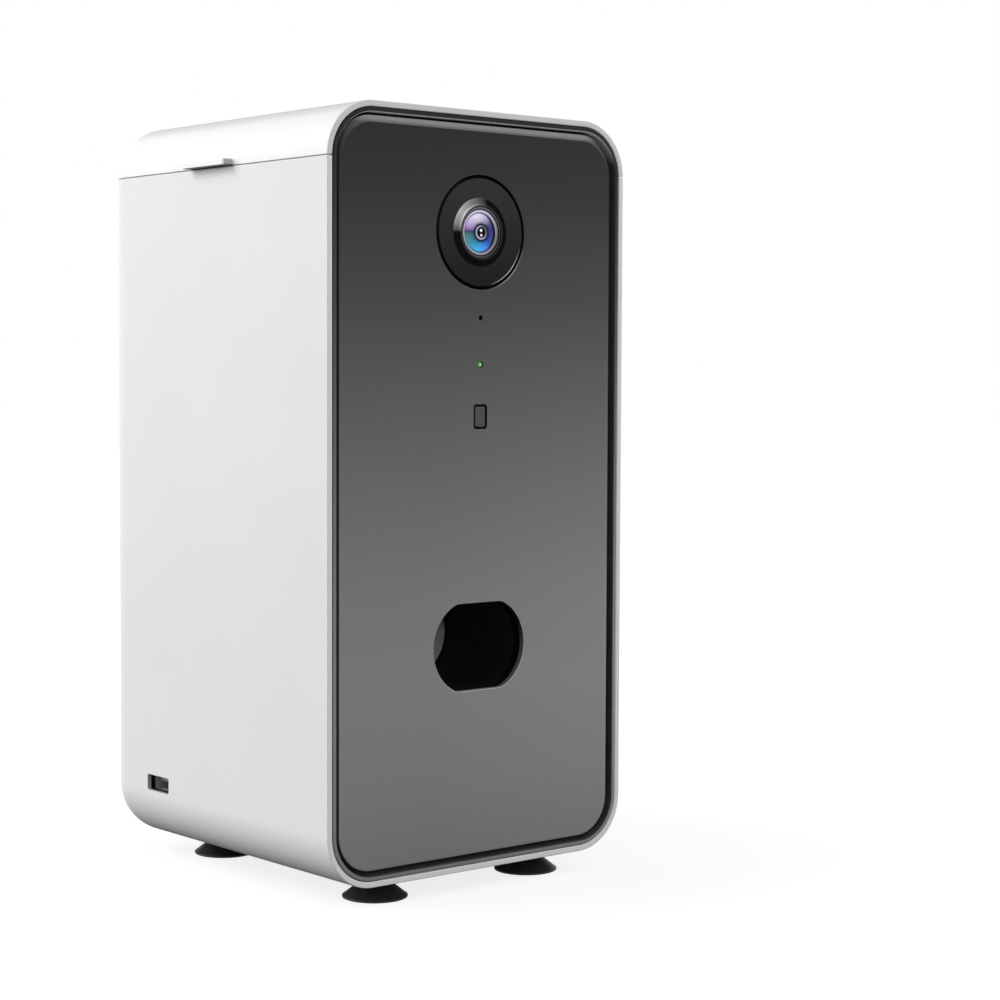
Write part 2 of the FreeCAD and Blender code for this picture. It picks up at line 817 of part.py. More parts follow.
def rack_space(y):
    """A gap between two rack teeth, as a wedge across the rack."""
    half = tooth_pitch / 2 - tooth_share * tooth_pitch / 4
    slope = math.tan(math.radians(pressure_angle))
    low = rack_line - gear_module
    high = rack_line + dedendum
    wide = half + gear_module * slope
    narrow = half - dedendum * slope
    corners = [V(-rack_width, y - wide, low), V(-rack_width, y + wide, low),
               V(-rack_width, y + narrow, high), V(-rack_width, y - narrow, high)]
    return Part.Face(Part.makePolygon(corners + corners[:1])).extrude(V(2 * rack_width, 0, 0))


def launch_plunger():
    """A sliding block with a spring pocket behind and a toothed rack below."""
    block = outlet_prism(0, plunger_y + pad_thickness, plunger_back)
    half = rack_width / 2
    rack = slab(-half, half, plunger_y + pad_thickness, plunger_back, rack_line - gear_module, outlet_z)
    pocket = rod(pocket_of_spring, V(0, plunger_y + spring_seat, outlet_z),
                 V(0, plunger_back + over, outlet_z))
    spaces = []
    place = winding_y
    while place > plunger_y:
        spaces.append(rack_space(place))
        place -= tooth_pitch
    return join(block, rack).cut([pocket] + spaces)


def plunger_pad():
    return outlet_prism(0, plunger_y, plunger_y + pad_thickness)


def launch_spring():
    """A compression spring between the plunger's pocket and the barrel's cap."""
    start = plunger_y + spring_seat + spring_wire_radius
    length = barrel_back - spring_wire_radius - start
    coil = Part.makeHelix(length / spring_turns, length, spring_radius)
    wire = Part.makeCircle(spring_wire_radius, V(spring_radius, 0, 0), V(0, 1, 0))
    spring = Part.Wire(coil).makePipeShell([Part.Wire(wire)], True, True)
    spring.rotate(V(0, 0, 0), V(1, 0, 0), -90)
    spring.translate(V(0, start, outlet_z))
    return spring


def across_turned(r, angle, x):
    """A point round the winding gear's axle, its angle counted from the top towards the front."""
    return V(x, winding_y - r * math.sin(angle), winding_z + r * math.cos(angle))


def winding_gear():
    """A gear with teeth on part of its rim, so that it lets the plunger go."""
    half = gear_width / 2
    root = winding_radius - dedendum
    solid = rod(root, V(-half, winding_y, winding_z), V(half, winding_y, winding_z))
    teeth = []
    for index in range(winding_teeth_cut):
        corners = tooth_corners(winding_teeth, 2 * math.pi * index / winding_teeth)
        corners = [(root - over, corners[0][1])] + corners + [(root - over, corners[3][1])]
        points = [across_turned(r, a, -half) for r, a in corners]
        teeth.append(Part.Face(Part.makePolygon(points + points[:1])).extrude(V(gear_width, 0, 0)))
    hub_end = half + gear_hub_reach
    hub = rod(root / 2, V(-hub_end, winding_y, winding_z), V(hub_end, winding_y, winding_z))
    bore = rod(winding_shaft_radius, V(-cheek_x, winding_y, winding_z), V(cheek_x, winding_y, winding_z))
    return join(solid, hub, *teeth).cut(bore)


def winding_shaft():
    end = cheek_outside + motor_bore_depth - wheel_play
    return rod(winding_shaft_radius, V(-cheek_outside, winding_y, winding_z), V(end, winding_y, winding_z))


def shaft_bushes():
    """Flanged bushes that carry the winding shaft in both cheeks."""
    bore = winding_shaft_radius + running_play
    bushes = []
    for side in (-1, 1):
        face = V(side * cheek_x, winding_y, winding_z)
        body = rod(bore + bush_wall, face, V(side * cheek_outside, winding_y, winding_z))
        flange = rod(bore + 2 * bush_wall, face, face - V(side * bush_flange, 0, 0))
        bushes.append(join(body, flange).cut(rod(bore, V(-shell_width, winding_y, winding_z),
                                                 V(shell_width, winding_y, winding_z))))
    return Part.makeCompound(bushes)


def gear_motor(base, axis, wide, bore):
    """A small motor with its gear head, standing along an axis, with its output bore."""
    head_length = motor_length * (1 - motor_can_share)
    high = axis.cross(wide)
    corners = [base + wide * (sw * motor_width / 2) + high * (sh * motor_height / 2)
               for sw, sh in ((-1, -1), (1, -1), (1, 1), (-1, 1))]
    head = Part.Face(Part.makePolygon(corners + corners[:1])).extrude(axis * head_length)
    can_start = base + axis * head_length
    can = rod(motor_width / 2, can_start, base + axis * motor_length)
    flats = Part.Face(Part.makePolygon(corners + corners[:1])).extrude(axis * motor_length)
    end = base + axis * motor_length
    boss = rod(motor_boss_radius, end, end + axis * motor_boss_height)
    return join(head, can.common(flats), boss).cut(rod(bore, base, base + axis * motor_bore_depth))


def winding_motor():
    return gear_motor(V(cheek_outside, winding_y, winding_z), V(1, 0, 0), V(0, 1, 0),
                      winding_shaft_radius + running_play)


# ---- chassis ----
def chassis():
    """The inner frame: a base plate and two upright cheeks that hold the launcher."""
    plate = shell_block(shell_wall + chassis_side_gap, cheek_front).common(
        slab(-half_width, half_width, cheek_front, mechanism_back, chassis_bottom, chassis_top))
    cheeks = []
    for left, right in ((-cheek_outside, -cheek_x), (cheek_x, cheek_outside)):
        cheeks.append(slab(left, right, cheek_front, cheek_end, chassis_top - over, deck_bottom))
    board_low = socket_z - socket_height / 2 - socket_metal - board_thickness
    posts = [rod(post_radius, V(x, y, chassis_top - over), V(x, y, board_low))
             for x, y in power_post_places()]
    body = join(plate, *cheeks, *posts)
    bush = winding_shaft_radius + running_play + bush_wall
    cuts = [rod(bush, V(-half_width, winding_y, winding_z), V(half_width, winding_y, winding_z))]
    cuts += [rod(screw_radius * base_screw_scale, p, p + V(0, 0, chassis_top + over)) for p in boss_places]
    for side_x, y in deck_screw_places():
        low = V(side_x, y, deck_bottom - screw_hole_depth)
        cuts.append(rod(screw_radius, low, V(side_x, y, deck_bottom)))
    return body.cut(cuts)


def power_post_places():
    x = -inner_half + power_board_length - 2 * post_radius
    return [(x, socket_y - power_board_width / 2 + 2 * post_radius),
            (x, socket_y + power_board_width / 2 - 2 * post_radius)]


def chassis_screws():
    return Part.makeCompound([
        screw(p + V(0, 0, base_seat_z), V(0, 0, 1), base_screw_scale, chassis_top - base_seat_z)
        for p in boss_places])


def deck_screw_places():
    middle = (cheek_x + cheek_outside) / 2
    return [(-middle, cheek_front + 2 * screw_head_radius), (middle, cheek_front + 2 * screw_head_radius)]


def deck_screws():
    return Part.makeCompound([screw(V(x, y, deck_top), V(0, 0, -1)) for x, y in deck_screw_places()])


# ---- dosing wheel, its housing and its drive ----
def wheel_axis_rod(radius, low, high):
    return rod(radius, V(0, wheel_y, low), V(0, wheel_y, high))


def pinion_rod(radius, low, high):
    return rod(radius, V(pinion_x, pinion_y, low), V(pinion_x, pinion_y, high))


def feed_deck():
    """The plate over the launcher, with the round wall that the dosing wheel turns in."""
    plate = shell_block(shell_wall + deck_side_gap, frame_back + deck_front_gap).common(
        slab(-half_width, half_width, frame_back, mechanism_back, deck_bottom, deck_top))
    walls = join(wheel_axis_rod(housing_radius + housing_wall, deck_top - over, bin_bottom),
                 pinion_rod(pinion_room + housing_wall, deck_top - over, bin_bottom))
    deck = join(plate, walls)
    cuts = [
        wheel_axis_rod(housing_radius, deck_top, bin_bottom + over),
        pinion_rod(pinion_room, deck_top, bin_bottom + over),
        wheel_axis_rod(axle_radius, deck_bottom - over, deck_top + over),
        pinion_rod(feed_shaft_radius + light_play, deck_bottom - over, deck_top + over),
        rod(drop_radius, V(0, drop_y, deck_bottom - over), V(0, drop_y, deck_top + over)),
    ]
    for x, y in deck_screw_places():
        cuts.append(rod(screw_radius, V(x, y, deck_bottom - over), V(x, y, deck_top + over)))
    return deck.cut(cuts)


def drop_chute():
    """The short tube that a treat falls through, fitted to the barrel's top."""
    chute = tube(drop_radius + chute_wall, drop_radius, V(0, drop_y, barrel_top - barrel_wall),
                 V(0, drop_y, deck_bottom))
    return chute.cut(outlet_prism(barrel_offset, frame_back, barrel_back))


def wheel_axle():
    return wheel_axis_rod(axle_radius, deck_bottom, wheel_top - axle_cap - axle_end_gap)


def dosing_wheel():
    """A toothed disc with a ring of through pockets, each the size of a treat."""
    space = math.radians(pinion_bearing) + math.pi / wheel_teeth
    band = spur_gear(wheel_teeth, wheel_band, V(0, wheel_y, wheel_bottom), space)
    disc = wheel_axis_rod(wheel_pitch_radius - dedendum, wheel_bottom, wheel_top)
    cuts = [wheel_axis_rod(axle_radius + running_play, wheel_bottom - over, wheel_top - axle_cap)]
    for index in range(pocket_count):
        angle = 2 * math.pi * index / pocket_count - math.pi / 2
        x = pocket_pitch_radius * math.cos(angle)
        y = wheel_y + pocket_pitch_radius * math.sin(angle)
        cuts.append(rod(pocket_radius, V(x, y, wheel_bottom - over), V(x, y, wheel_top + over)))
    return join(disc, band).cut(cuts)


def agitator():
    """A cone with one arm, which turns with the wheel and stirs the treats."""
    cone = Part.makeCone(agitator_radius, agitator_tip_radius, agitator_height, V(0, wheel_y, wheel_top))
    arm_z = wheel_top + agitator_height - agitator_arm_radius - agitator_arm_cover
    arm = rod(agitator_arm_radius, V(0, wheel_y, arm_z), V(0, wheel_y + agitator_arm_reach, arm_z))
    return join(cone, arm)


def feed_pinion():
    turn = math.radians(pinion_bearing + 180)
    gear = spur_gear(pinion_teeth, wheel_band, V(pinion_x, pinion_y, wheel_bottom), turn)
    hub = pinion_rod(pinion_pitch_radius - 2 * gear_module, wheel_bottom, wheel_bottom + wheel_height / 2)
    return join(gear, hub).cut(pinion_rod(feed_shaft_radius, wheel_bottom - over, wheel_top + over))


def feed_shaft():
    return pinion_rod(feed_shaft_radius, deck_bottom - motor_bore_depth + wheel_play,
                      wheel_bottom + wheel_height / 2)


def feed_motor():
    return gear_motor(V(pinion_x, pinion_y, deck_bottom), V(0, 0, -1), V(1, 0, 0),
                      feed_shaft_radius + light_play)


# ---- treat bin ----
def funnel_cone(grow):
    low = bin_bottom
    start = throat_radius + grow - throat_height
    return Part.makeCone(start, start + funnel_top - low, funnel_top - low, V(0, wheel_y, low))


def treat_bin():
    """A straight-sided bin over a funnel, with a flange that closes the top of the shell."""
    walls = bin_outline(bin_wall, throat_top, flange_top)
    upper = walls.common(slab(-half_width, half_width, front_y, back_y, funnel_top, shell_top))
    lower = walls.common(funnel_cone(funnel_wall))
    foot = wheel_axis_rod(housing_radius + housing_wall, bin_bottom, bin_bottom + bin_wall)
    neck = wheel_axis_rod(throat_radius + funnel_wall, bin_bottom, throat_top + bin_wall)
    flange = shell_block(shell_wall + lid_play, front_y).common(
        slab(-half_width, half_width, frame_back, back_y, flange_top - flange_thickness, flange_top))
    hollow = bin_outline(0, bin_bottom, flange_top + over)
    upper_hollow = hollow.common(slab(-half_width, half_width, front_y, back_y, funnel_top, shell_top))
    lower_hollow = hollow.common(funnel_cone(0))
    solid = join(upper, lower, foot, neck, flange)
    throat = wheel_axis_rod(throat_radius, bin_bottom - over, throat_top + over)
    catch = rod(magnet_radius, V(magnet_x, tab_y, deck_top), V(magnet_x, tab_y, shell_top))
    return solid.cut([upper_hollow, lower_hollow, throat, catch])


def throat_wiper():
    """A plate over the pocket that empties, so that only one pocket's load falls."""
    low = bin_bottom + wiper_rise
    disc = wheel_axis_rod(throat_radius - running_play, low, low + wiper_height)
    cover_end = drop_y + pocket_radius + wiper_reach
    return disc.common(slab(-half_width, half_width, front_y, cover_end, shell_bottom, shell_top))


# ---- power socket and speaker ----
def power_socket():
    """The metal sleeve of the socket, with its mouth behind the slot in the shell."""
    half_w = socket_width / 2
    half_h = socket_height / 2
    start = -inner_half
    wall = socket_metal
    sleeve_box = slab(start, start + socket_depth, socket_y - half_w - wall, socket_y + half_w + wall,
                      socket_z - half_h - wall, socket_z + half_h + wall)
    return sleeve_box.cut(slab(start - over, start + socket_depth - wall, socket_y - half_w,
                               socket_y + half_w, socket_z - half_h, socket_z + half_h))


def socket_tongue():
    start = -inner_half + tongue_set_back
    half = tongue_thickness / 2
    middle = socket_z + tongue_offset
    half_w = socket_width / 2 - tongue_side_gap
    return slab(start, -inner_half + socket_depth - socket_metal, socket_y - half_w, socket_y + half_w,
                middle - half, middle + half)


def power_board():
    high = socket_z - socket_height / 2 - socket_metal
    half_w = power_board_width / 2
    return slab(-inner_half + power_board_gap, -inner_half + power_board_length,
                socket_y - half_w, socket_y + half_w, high - board_thickness, high)


def speaker_at(r, depth):
    return (r, inner_back - depth)


def speaker():
    """A basket with its magnet, behind the grille."""
    rim = speaker_depth / 4
    magnet = speaker_radius * speaker_magnet_share
    return turned([
        speaker_at(0, rim), speaker_at(speaker_radius - speaker_rim, 0), speaker_at(speaker_radius, 0),
        speaker_at(speaker_radius, rim), speaker_at(magnet, speaker_depth * speaker_magnet_share),
        speaker_at(magnet, speaker_depth), speaker_at(0, speaker_depth)],
        V(0, 0, speaker_z), V(0, 1, 0), V(1, 0, 0))


# ---- suction cup feet ----
def suction_foot(side, y):
    """A rubber cup, hollow below, whose stud is pulled through the shell's floor."""
    base = V(side * (half_width - foot_inset_x), y, 0)
    lip = foot_rim_radius - foot_lip
    return turned([
        (0, foot_hollow), (foot_shoulder_radius, foot_hollow), (lip - foot_lip_height, foot_lip_height),
        (lip, 0),
        (foot_rim_radius - foot_edge_round, 0), (foot_rim_radius, foot_rim_height / 2),
        (foot_rim_radius - foot_edge_round / 2, foot_rim_height),
        (foot_shoulder_radius, foot_shoulder_height),
        (foot_neck_radius, foot_shoulder_height), (foot_neck_radius, floor_z),
        (foot_stud_radius, floor_z), (foot_neck_radius, floor_z + foot_stud_height),
        (0, floor_z + foot_stud_height)], base, V(0, 0, 1), V(1, 0, 0))


# ---- write one file for each piece ----
PIECES = {
    "body_shell": body_shell, "lid_shell": lid_shell, "lid_liner": lid_liner,
    "liner_screws": liner_screws, "lid_gasket": lid_gasket, "lid_magnet": lid_magnet,
    "catch_magnet": catch_magnet, "hinge_pin": hinge_pin, "front_frame": front_frame,
    "front_panel": front_panel, "camera_ring": camera_ring, "lens_ring": lens_ring,
    "lens_glass": lens_glass, "camera_module": camera_module, "camera_board": camera_board,
    "camera_ribbon": camera_ribbon, "main_board": main_board, "board_screws": board_screws,
    "radio_shield": radio_shield, "microphone": microphone, "mic_boot": mic_boot,
    "light_pipe": light_pipe, "button_key": button_key, "switch_plunger": switch_plunger,
    "switch_body": switch_body, "launch_barrel": launch_barrel, "barrel_cap": barrel_cap,
    "launch_plunger": launch_plunger, "plunger_pad": plunger_pad, "launch_spring": launch_spring,
    "winding_gear": winding_gear, "winding_shaft": winding_shaft, "shaft_bushes": shaft_bushes,
    "winding_motor": winding_motor, "chassis": chassis, "chassis_screws": chassis_screws,
    "feed_deck": feed_deck, "deck_screws": deck_screws, "drop_chute": drop_chute,
    "wheel_axle": wheel_axle, "dosing_wheel": dosing_wheel, "agitator": agitator,
    "feed_pinion": feed_pinion, "feed_shaft": feed_shaft, "feed_motor": feed_motor,
    "treat_bin": treat_bin, "throat_wiper": throat_wiper, "power_socket": power_socket,
    "socket_tongue": socket_tongue, "power_board": power_board, "speaker": speaker,
}

os.makedirs("parts", exist_ok=True)
for name, build in PIECES.items():
    build().exportStep("parts/" + name + ".step")
for name, side, y in foot_places:
    suction_foot(side, y).exportStep("parts/" + name + ".step")
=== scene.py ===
"""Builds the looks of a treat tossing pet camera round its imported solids.

Lengths are millimetres while a mesh is made and metres on the finished piece.
X runs across the front, Y from front to back and Z up.
"""

import bmesh
import bpy
import json
import math
from functools import partial
from math import cos, pi, radians, sin
from types import SimpleNamespace

from bpy.props import FloatProperty, FloatVectorProperty, IntProperty, PointerProperty
from mathutils import Matrix, Vector


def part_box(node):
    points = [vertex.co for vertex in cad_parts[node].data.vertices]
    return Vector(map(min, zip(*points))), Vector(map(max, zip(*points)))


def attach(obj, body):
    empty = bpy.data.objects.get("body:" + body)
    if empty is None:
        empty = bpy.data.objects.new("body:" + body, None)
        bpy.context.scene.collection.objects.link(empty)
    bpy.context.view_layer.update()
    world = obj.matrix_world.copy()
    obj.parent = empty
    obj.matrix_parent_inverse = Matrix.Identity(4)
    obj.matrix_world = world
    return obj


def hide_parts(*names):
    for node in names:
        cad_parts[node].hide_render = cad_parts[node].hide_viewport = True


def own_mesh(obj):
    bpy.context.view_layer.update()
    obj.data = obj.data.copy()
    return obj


bl_info = {
    "name": "Treat Tossing Pet Camera",
    "version": (1, 0, 0),
    "blender": (4, 5, 0),
    "location": "3D View > Sidebar > Pet Camera",
    "description": "Makes the shell, front, camera window, launcher and feet of a treat tossing pet camera",
    "category": "Object",
}

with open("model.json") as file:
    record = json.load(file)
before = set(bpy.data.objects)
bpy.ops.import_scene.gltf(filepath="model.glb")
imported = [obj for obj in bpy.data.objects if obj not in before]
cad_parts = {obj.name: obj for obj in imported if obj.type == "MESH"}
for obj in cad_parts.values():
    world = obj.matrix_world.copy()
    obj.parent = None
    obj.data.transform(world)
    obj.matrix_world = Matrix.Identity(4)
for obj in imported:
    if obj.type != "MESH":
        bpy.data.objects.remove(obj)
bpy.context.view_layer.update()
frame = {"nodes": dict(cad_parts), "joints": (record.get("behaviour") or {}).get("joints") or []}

CORNER_STEPS = 22
ROUND_STEPS = 4
MOUTH_STEPS = 5
TURN_STEPS = 96
SMALL_TURN_STEPS = 40
WINDOW_STEPS = 128
SHARP_ANGLE = radians(32)
TURN = 360

# Millimetres, apart from the base screws' size as a share of the other screws'.
PANEL_SPREAD = 0.25
DISH_RADIUS = 17.5
GLASS_RADIUS = 6.5
# Height over the plunger pad's foot where its painted shade begins.
PAD_LIGHT = 17.5
SHANK = 8
BASE_SCREW = 1.3

# Metres.
MIDDLE_HEIGHT = 0.13


# ---- settings ----
def length(name, millimetres, description):
    return FloatProperty(name=name, description=description, default=millimetres / 1000,
                         min=0.0, unit="LENGTH", precision=5)


def colour(name, rgb, description):
    return FloatVectorProperty(name=name, description=description, default=rgb, size=3,
                               min=0.0, max=1.0, subtype="COLOR")


def amount(name, value, description, low=0.0):
    return FloatProperty(name=name, description=description, default=value, min=low)


def count(name, value, description, low):
    return IntProperty(name=name, description=description, default=value, min=low)


class PETCAM_PG_shell(bpy.types.PropertyGroup):
    """Sizes and colour of the white tub and lid"""

    corner: length("Front Corner", 18.0, "Radius of the front outline's corners")
    back_edge: length("Back Edge", 16.0, "Radius of the edges round the back")
    wall: length("Wall", 2.5, "Thickness of the moulded wall")
    rim: length("Rim Width", 1.95, "White edge that shows round the front frame")
    rim_round: length("Rim Rounding", 0.4, "Rounding of the rim's outer edge")
    rim_chamfer: length("Rim Inner Edge", 0.25, "Chamfer of the rim's inner edge")
    rebate: length("Rebate Depth", 6.0, "Depth of the step that the front frame sits in")
    seam: length("Seam Gap", 0.3, "Gap between the tub and the lid")
    seam_edge: length("Seam Edge", 0.16, "Soft edge on both sides of the seam")
    knuckle: length("Knuckle Radius", 2.44, "Radius of the hinge knuckles")
    knuckle_play: length("Knuckle Play", 0.35, "Room round a knuckle")
    knuckle_gap: length("Knuckle Gap", 0.4, "Gap between neighbouring knuckles")
    lid_knuckle: length("Lid Knuckle", 24.0, "Length of the lid's knuckle")
    body_knuckle: length("Body Knuckle", 16.0, "Length of each of the body's knuckles")
    pin: length("Pin Radius", 1.05, "Radius of the knuckles' bore")
    tab_round: length("Tab Rounding", 0.9, "Rounding of the finger tab")
    tab_length: length("Tab Length", 24.6, "Length of the finger tab")
    tab_height: length("Tab Height", 2.3, "Height of the finger tab")
    tint: colour("Shell Colour", (0.99, 0.992, 0.995), "Colour of the white plastic")
    lid_tint: colour("Lid Colour", (0.985, 0.986, 0.988), "Colour of the lid, a shade whiter")


class PETCAM_PG_front(bpy.types.PropertyGroup):
    """Sizes and colours of the front frame, the face panel and what shows in it"""

    ring: length("Ring Width", 1.4, "Dark ring that shows round the face panel")
    panel_edge: length("Panel Edge Width", 2.2, "Width of the panel's soft edge")
    panel_drop: length("Panel Edge Drop", 0.6, "How far the panel's edge falls back")
    hole_round: length("Opening Rounding", 0.4, "Rounding round the outlet and camera openings")
    camera_groove: length("Camera Groove", 1.05, "Gap round the camera ring")
    outlet_side: length("Outlet Side Radius", 15.35, "Radius of the outlet's bowed sides")
    outlet_blend: length("Outlet Blend", 5.2,
                         "Radius between the outlet's sides and its top and bottom")
    key_width: length("Key Width", 4.6, "Width of the toss key")
    key_height: length("Key Height", 6.95, "Height of the toss key")
    key_border: length("Key Gap", 0.55, "Gap round the toss key")
    key_round: length("Key Rounding", 0.7, "Corner radius of the toss key")
    microphone: length("Microphone Hole", 0.82, "Radius of the microphone hole")
    light_play: length("Light Gap", 0.1, "Gap round the status light")
    # The graphite's two tints are the ends of its painted reflection: lighter low on the front, darker at
    # its top.
    low_tint: colour("Graphite, Low", (0.286, 0.286, 0.289), "Graphite finish low on the front")
    high_tint: colour("Graphite, High", (0.014, 0.014, 0.0143),
                      "Graphite finish at the top of the front")
    light_tint: colour("Status Light", (0.022, 0.24, 0.02), "Colour of the status light")
    pad_tint: colour("Pad Colour", (0.3, 0.3, 0.305), "Colour of the plunger's pad")


class PETCAM_PG_camera(bpy.types.PropertyGroup):
    """Sizes and coating colours of the camera window"""

    cone: length("Cone Radius", 11.2, "Foot of the raised cone round the lens")
    cone_top: length("Cone Top Radius", 8.9, "Front edge of the cone")
    cone_rise: length("Cone Rise", 0.35, "Cone's front edge ahead of the panel")
    dish: length("Dish Depth", 0.6, "Depth of the dish at the foot of the cone")
    lip: length("Lens Ring Lip", 0.6, "How far the lens ring falls back towards the glass")
    crown: length("Lens Crown", 1.1, "Rise of the glass over its edge")
    coat_high: colour("Coating, High", (0.8, 0.72, 0.9), "Coating colour at the top of the lens")
    coat_low: colour("Coating, Low", (0.045, 0.33, 0.68), "Coating colour at the foot of the lens")
    coat_deep: colour("Coating, Right", (0.045, 0.04, 0.28),
                      "Coating colour at the right of the lens")


class PETCAM_PG_fittings(bpy.types.PropertyGroup):
    """Sizes of the feet, screws, spring, grille and socket"""

    slot_round: length("Slot Rounding", 0.8, "Corner radius of the socket's slot")
    slot_margin: length("Slot Margin", 0.1, "Slot beyond the socket's sleeve")
    socket_metal: length("Socket Metal", 0.35, "Thickness of the socket's sleeve")
    screw_head: length("Screw Head", 2.3, "Radius of a screw's head")
    screw_rise: length("Screw Head Height", 1.3, "Height of a screw's head")
    screw_shank: length("Screw Shank", 1.2, "Radius of a screw's shank")
    cross: length("Cross Width", 0.6, "Width of the cross recess")
    spring_turns: count("Spring Turns", 9, "Turns of the launch spring", 3)
    spring_wire: length("Spring Wire", 0.7, "Radius of the spring's wire")
    grille_hole: length("Grille Hole", 0.9, "Radius of one hole of the speaker grille")
    grille_pitch: length("Grille Pitch", 4.2, "Distance between the grille's holes")
    grille_rings: count("Grille Rings", 3, "Rings of holes round the middle one", 1)
    foot_neck: length("Foot Neck", 3.6, "Radius of the neck through the shell's floor")
    foot_shoulder: length("Foot Shoulder", 4.6, "Radius of the suction cup's shoulder")


class PETCAM_PG_stage(bpy.types.PropertyGroup):
    """Light on the object"""

    key: amount("Key Power", 31.5, "Watts of the large lamp at the left")
    fill: amount("Fill Power", 4.8, "Watts of the lamp before the front")
    strip: amount("Top Power", 4.0, "Watts of the small lamp over the right")
    ambient: amount("Ambient", 0.2, "Even light from all round")
    lens: amount("Focal Length", 81.78, "Focal length on a 36 mm wide sensor", 10.0)


GROUPS = {
    "petcam_shell": PETCAM_PG_shell,
    "petcam_front": PETCAM_PG_front,
    "petcam_camera": PETCAM_PG_camera,
    "petcam_fittings": PETCAM_PG_fittings,
    "petcam_stage": PETCAM_PG_stage,
}


def settings(group):
    """A settings group as plain values, its lengths in millimetres."""
    values = {}
    for prop in group.bl_rna.properties:
        if prop.type == "FLOAT" and prop.is_array:
            values[prop.identifier] = tuple(getattr(group, prop.identifier))
        elif prop.type in {"FLOAT", "INT"}:
            scale = 1000 if prop.unit == "LENGTH" else 1
            values[prop.identifier] = getattr(group, prop.identifier) * scale
    return SimpleNamespace(**values)


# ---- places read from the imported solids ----
def extent(node):
    """Lowest and highest corner of a solid in millimetres."""
    low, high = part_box(node)
    return low * 1000, high * 1000


def middle(node):
    low, high = extent(node)
    return (low + high) / 2


def joint(name):
    return next(j for j in frame["joints"] if j["name"] == name)


def corner_spots(node_name, inset):
    """(x, y) of four like solids in the corners of their node's box."""
    low, high = extent(node_name)
    return [(x, y) for x in (low.x + inset, high.x - inset)
            for y in (low.y + inset, high.y - inset)]


def foot_nodes():
    return [name for name in frame["nodes"] if name.startswith("foot_")]


def shell_sizes(context):
    """The shell's settings with its outside, its seam and its hinge."""
    s = settings(context.scene.petcam_shell)
    low, high = extent("body_shell")
    s.left, s.front, s.bottom = low
    s.back = high.y
    s.half_width = -s.left
    s.top = extent("lid_shell")[1].z
    s.hinge_x, s.hinge_y, s.seam_z = (v * 1000 for v in joint("lid_hinge")["pos_m"])
    return s


# ---- outlines in the X-Z plane ----
def arc(cx, cz, radius, start, end, steps):
    """Points along an arc, its angles in degrees."""
    turns = [radians(start + (end - start) * i / steps) for i in range(steps + 1)]
    return [(cx + radius * cos(a), cz + radius * sin(a)) for a in turns]


def rounded_outline(cx, cz, half_w, half_h, radius, steps=CORNER_STEPS):
    """A rounded rectangle, counter-clockwise from its right side."""
    points = []
    for quarter, (sx, sz) in enumerate(((1, 1), (-1, 1), (-1, -1), (1, -1))):
        centre = (cx + sx * (half_w - radius), cz + sz * (half_h - radius))
        points += arc(*centre, radius, 90 * quarter, 90 * quarter + 90, steps)
    return points


def front_outline(s, inset):
    """The shell's front outline, drawn in by an inset."""
    half_h = (s.top - s.bottom) / 2
    return rounded_outline(0, s.bottom + half_h, s.half_width - inset, half_h - inset,
                           s.corner - inset)


def outlet_outline(front, offset):
    """The outlet's outline grown by an offset: flat above and below, bowed at the sides."""
    low, high = extent("plunger_pad")
    half_w, half_h, centre_z = high.x, (high.z - low.z) / 2, (low.z + high.z) / 2
    bow_x = half_w - front.outlet_side
    bow = front.outlet_side + offset
    blend = front.outlet_blend + offset
    rise = half_h - front.outlet_blend
    run = math.sqrt((front.outlet_side - front.outlet_blend) ** 2 - rise ** 2)
    turn = math.degrees(math.atan2(rise, run))
    right = arc(bow_x, centre_z, bow, -turn, turn, 28)
    right += arc(bow_x + run, centre_z + rise, blend, turn, 90, 12)[1:]
    lower = arc(bow_x + run, centre_z - rise, blend, -90, -turn, 12)[:-1]
    half = lower + right
    return half + [(-x, 2 * centre_z - z) for x, z in half]


def circle_outline(cx, cz, radius, steps=SMALL_TURN_STEPS):
    return arc(cx, cz, radius, 0, 360, steps)[:-1]


def softened(points, radius, steps=3, closed=False):
    """A chain of corners with each inner corner eased off by a short curve."""
    made = []
    count = len(points)
    for i, point in enumerate(points):
        here = Vector(point)
        if not closed and i in (0, count - 1):
            made.append(tuple(here))
            continue
        before = Vector(points[i - 1]) - here
        after = Vector(points[(i + 1) % count]) - here
        cut = min(radius, 0.45 * before.length, 0.45 * after.length)
        a = here + before.normalized() * cut
        b = here + after.normalized() * cut
        for k in range(steps + 1):
            t = k / steps
            made.append(tuple(a * (1 - t) ** 2 + here * 2 * t * (1 - t) + b * t ** 2))
    return made


# ---- mesh building ----
def at_depth(outline, y):
    return [(x, y, z) for x, z in outline]


def linked(name, data):
    """An object of the scene round some data."""
    obj = bpy.data.objects.new(name, data)
    bpy.context.scene.collection.objects.link(obj)
    return obj


def to_object(bm, name, outwards=True):
    """A bmesh as a linked object, its faces pointing outwards."""
    if outwards:
        bmesh.ops.recalc_face_normals(bm, faces=bm.faces)
    mesh = bpy.data.meshes.new(name)
    bm.to_mesh(mesh)
    bm.free()
    return linked(name, mesh)


def add_loft(bm, rings, closed=True, bands=None):
    """Faces between equal rings, with a finish for each band; returns the rings' vertices."""
    made = [[bm.verts.new(p) for p in ring] for ring in rings]
    for index, (a, b) in enumerate(zip(made, made[1:])):
        for i in range(0 if closed else 1, len(a)):
            face = bm.faces.new((a[i - 1], a[i], b[i], b[i - 1]))
            face.material_index = bands[index] if bands else 0
    return made


def add_closed_loft(bm, rings, bands=None):
    """A loft with a cap at each end; returns the first cap."""
    made = add_loft(bm, rings, bands=bands)
    first = bm.faces.new(made[0])
    bm.faces.new(made[-1])
    return first


def loft_object(name, rings, bands=None):
    bm = bmesh.new()
    add_closed_loft(bm, rings, bands)
    return to_object(bm, name)


def ring_edges(bm, ring):
    return [bm.edges.get((ring[i - 1], ring[i])) for i in range(len(ring))]


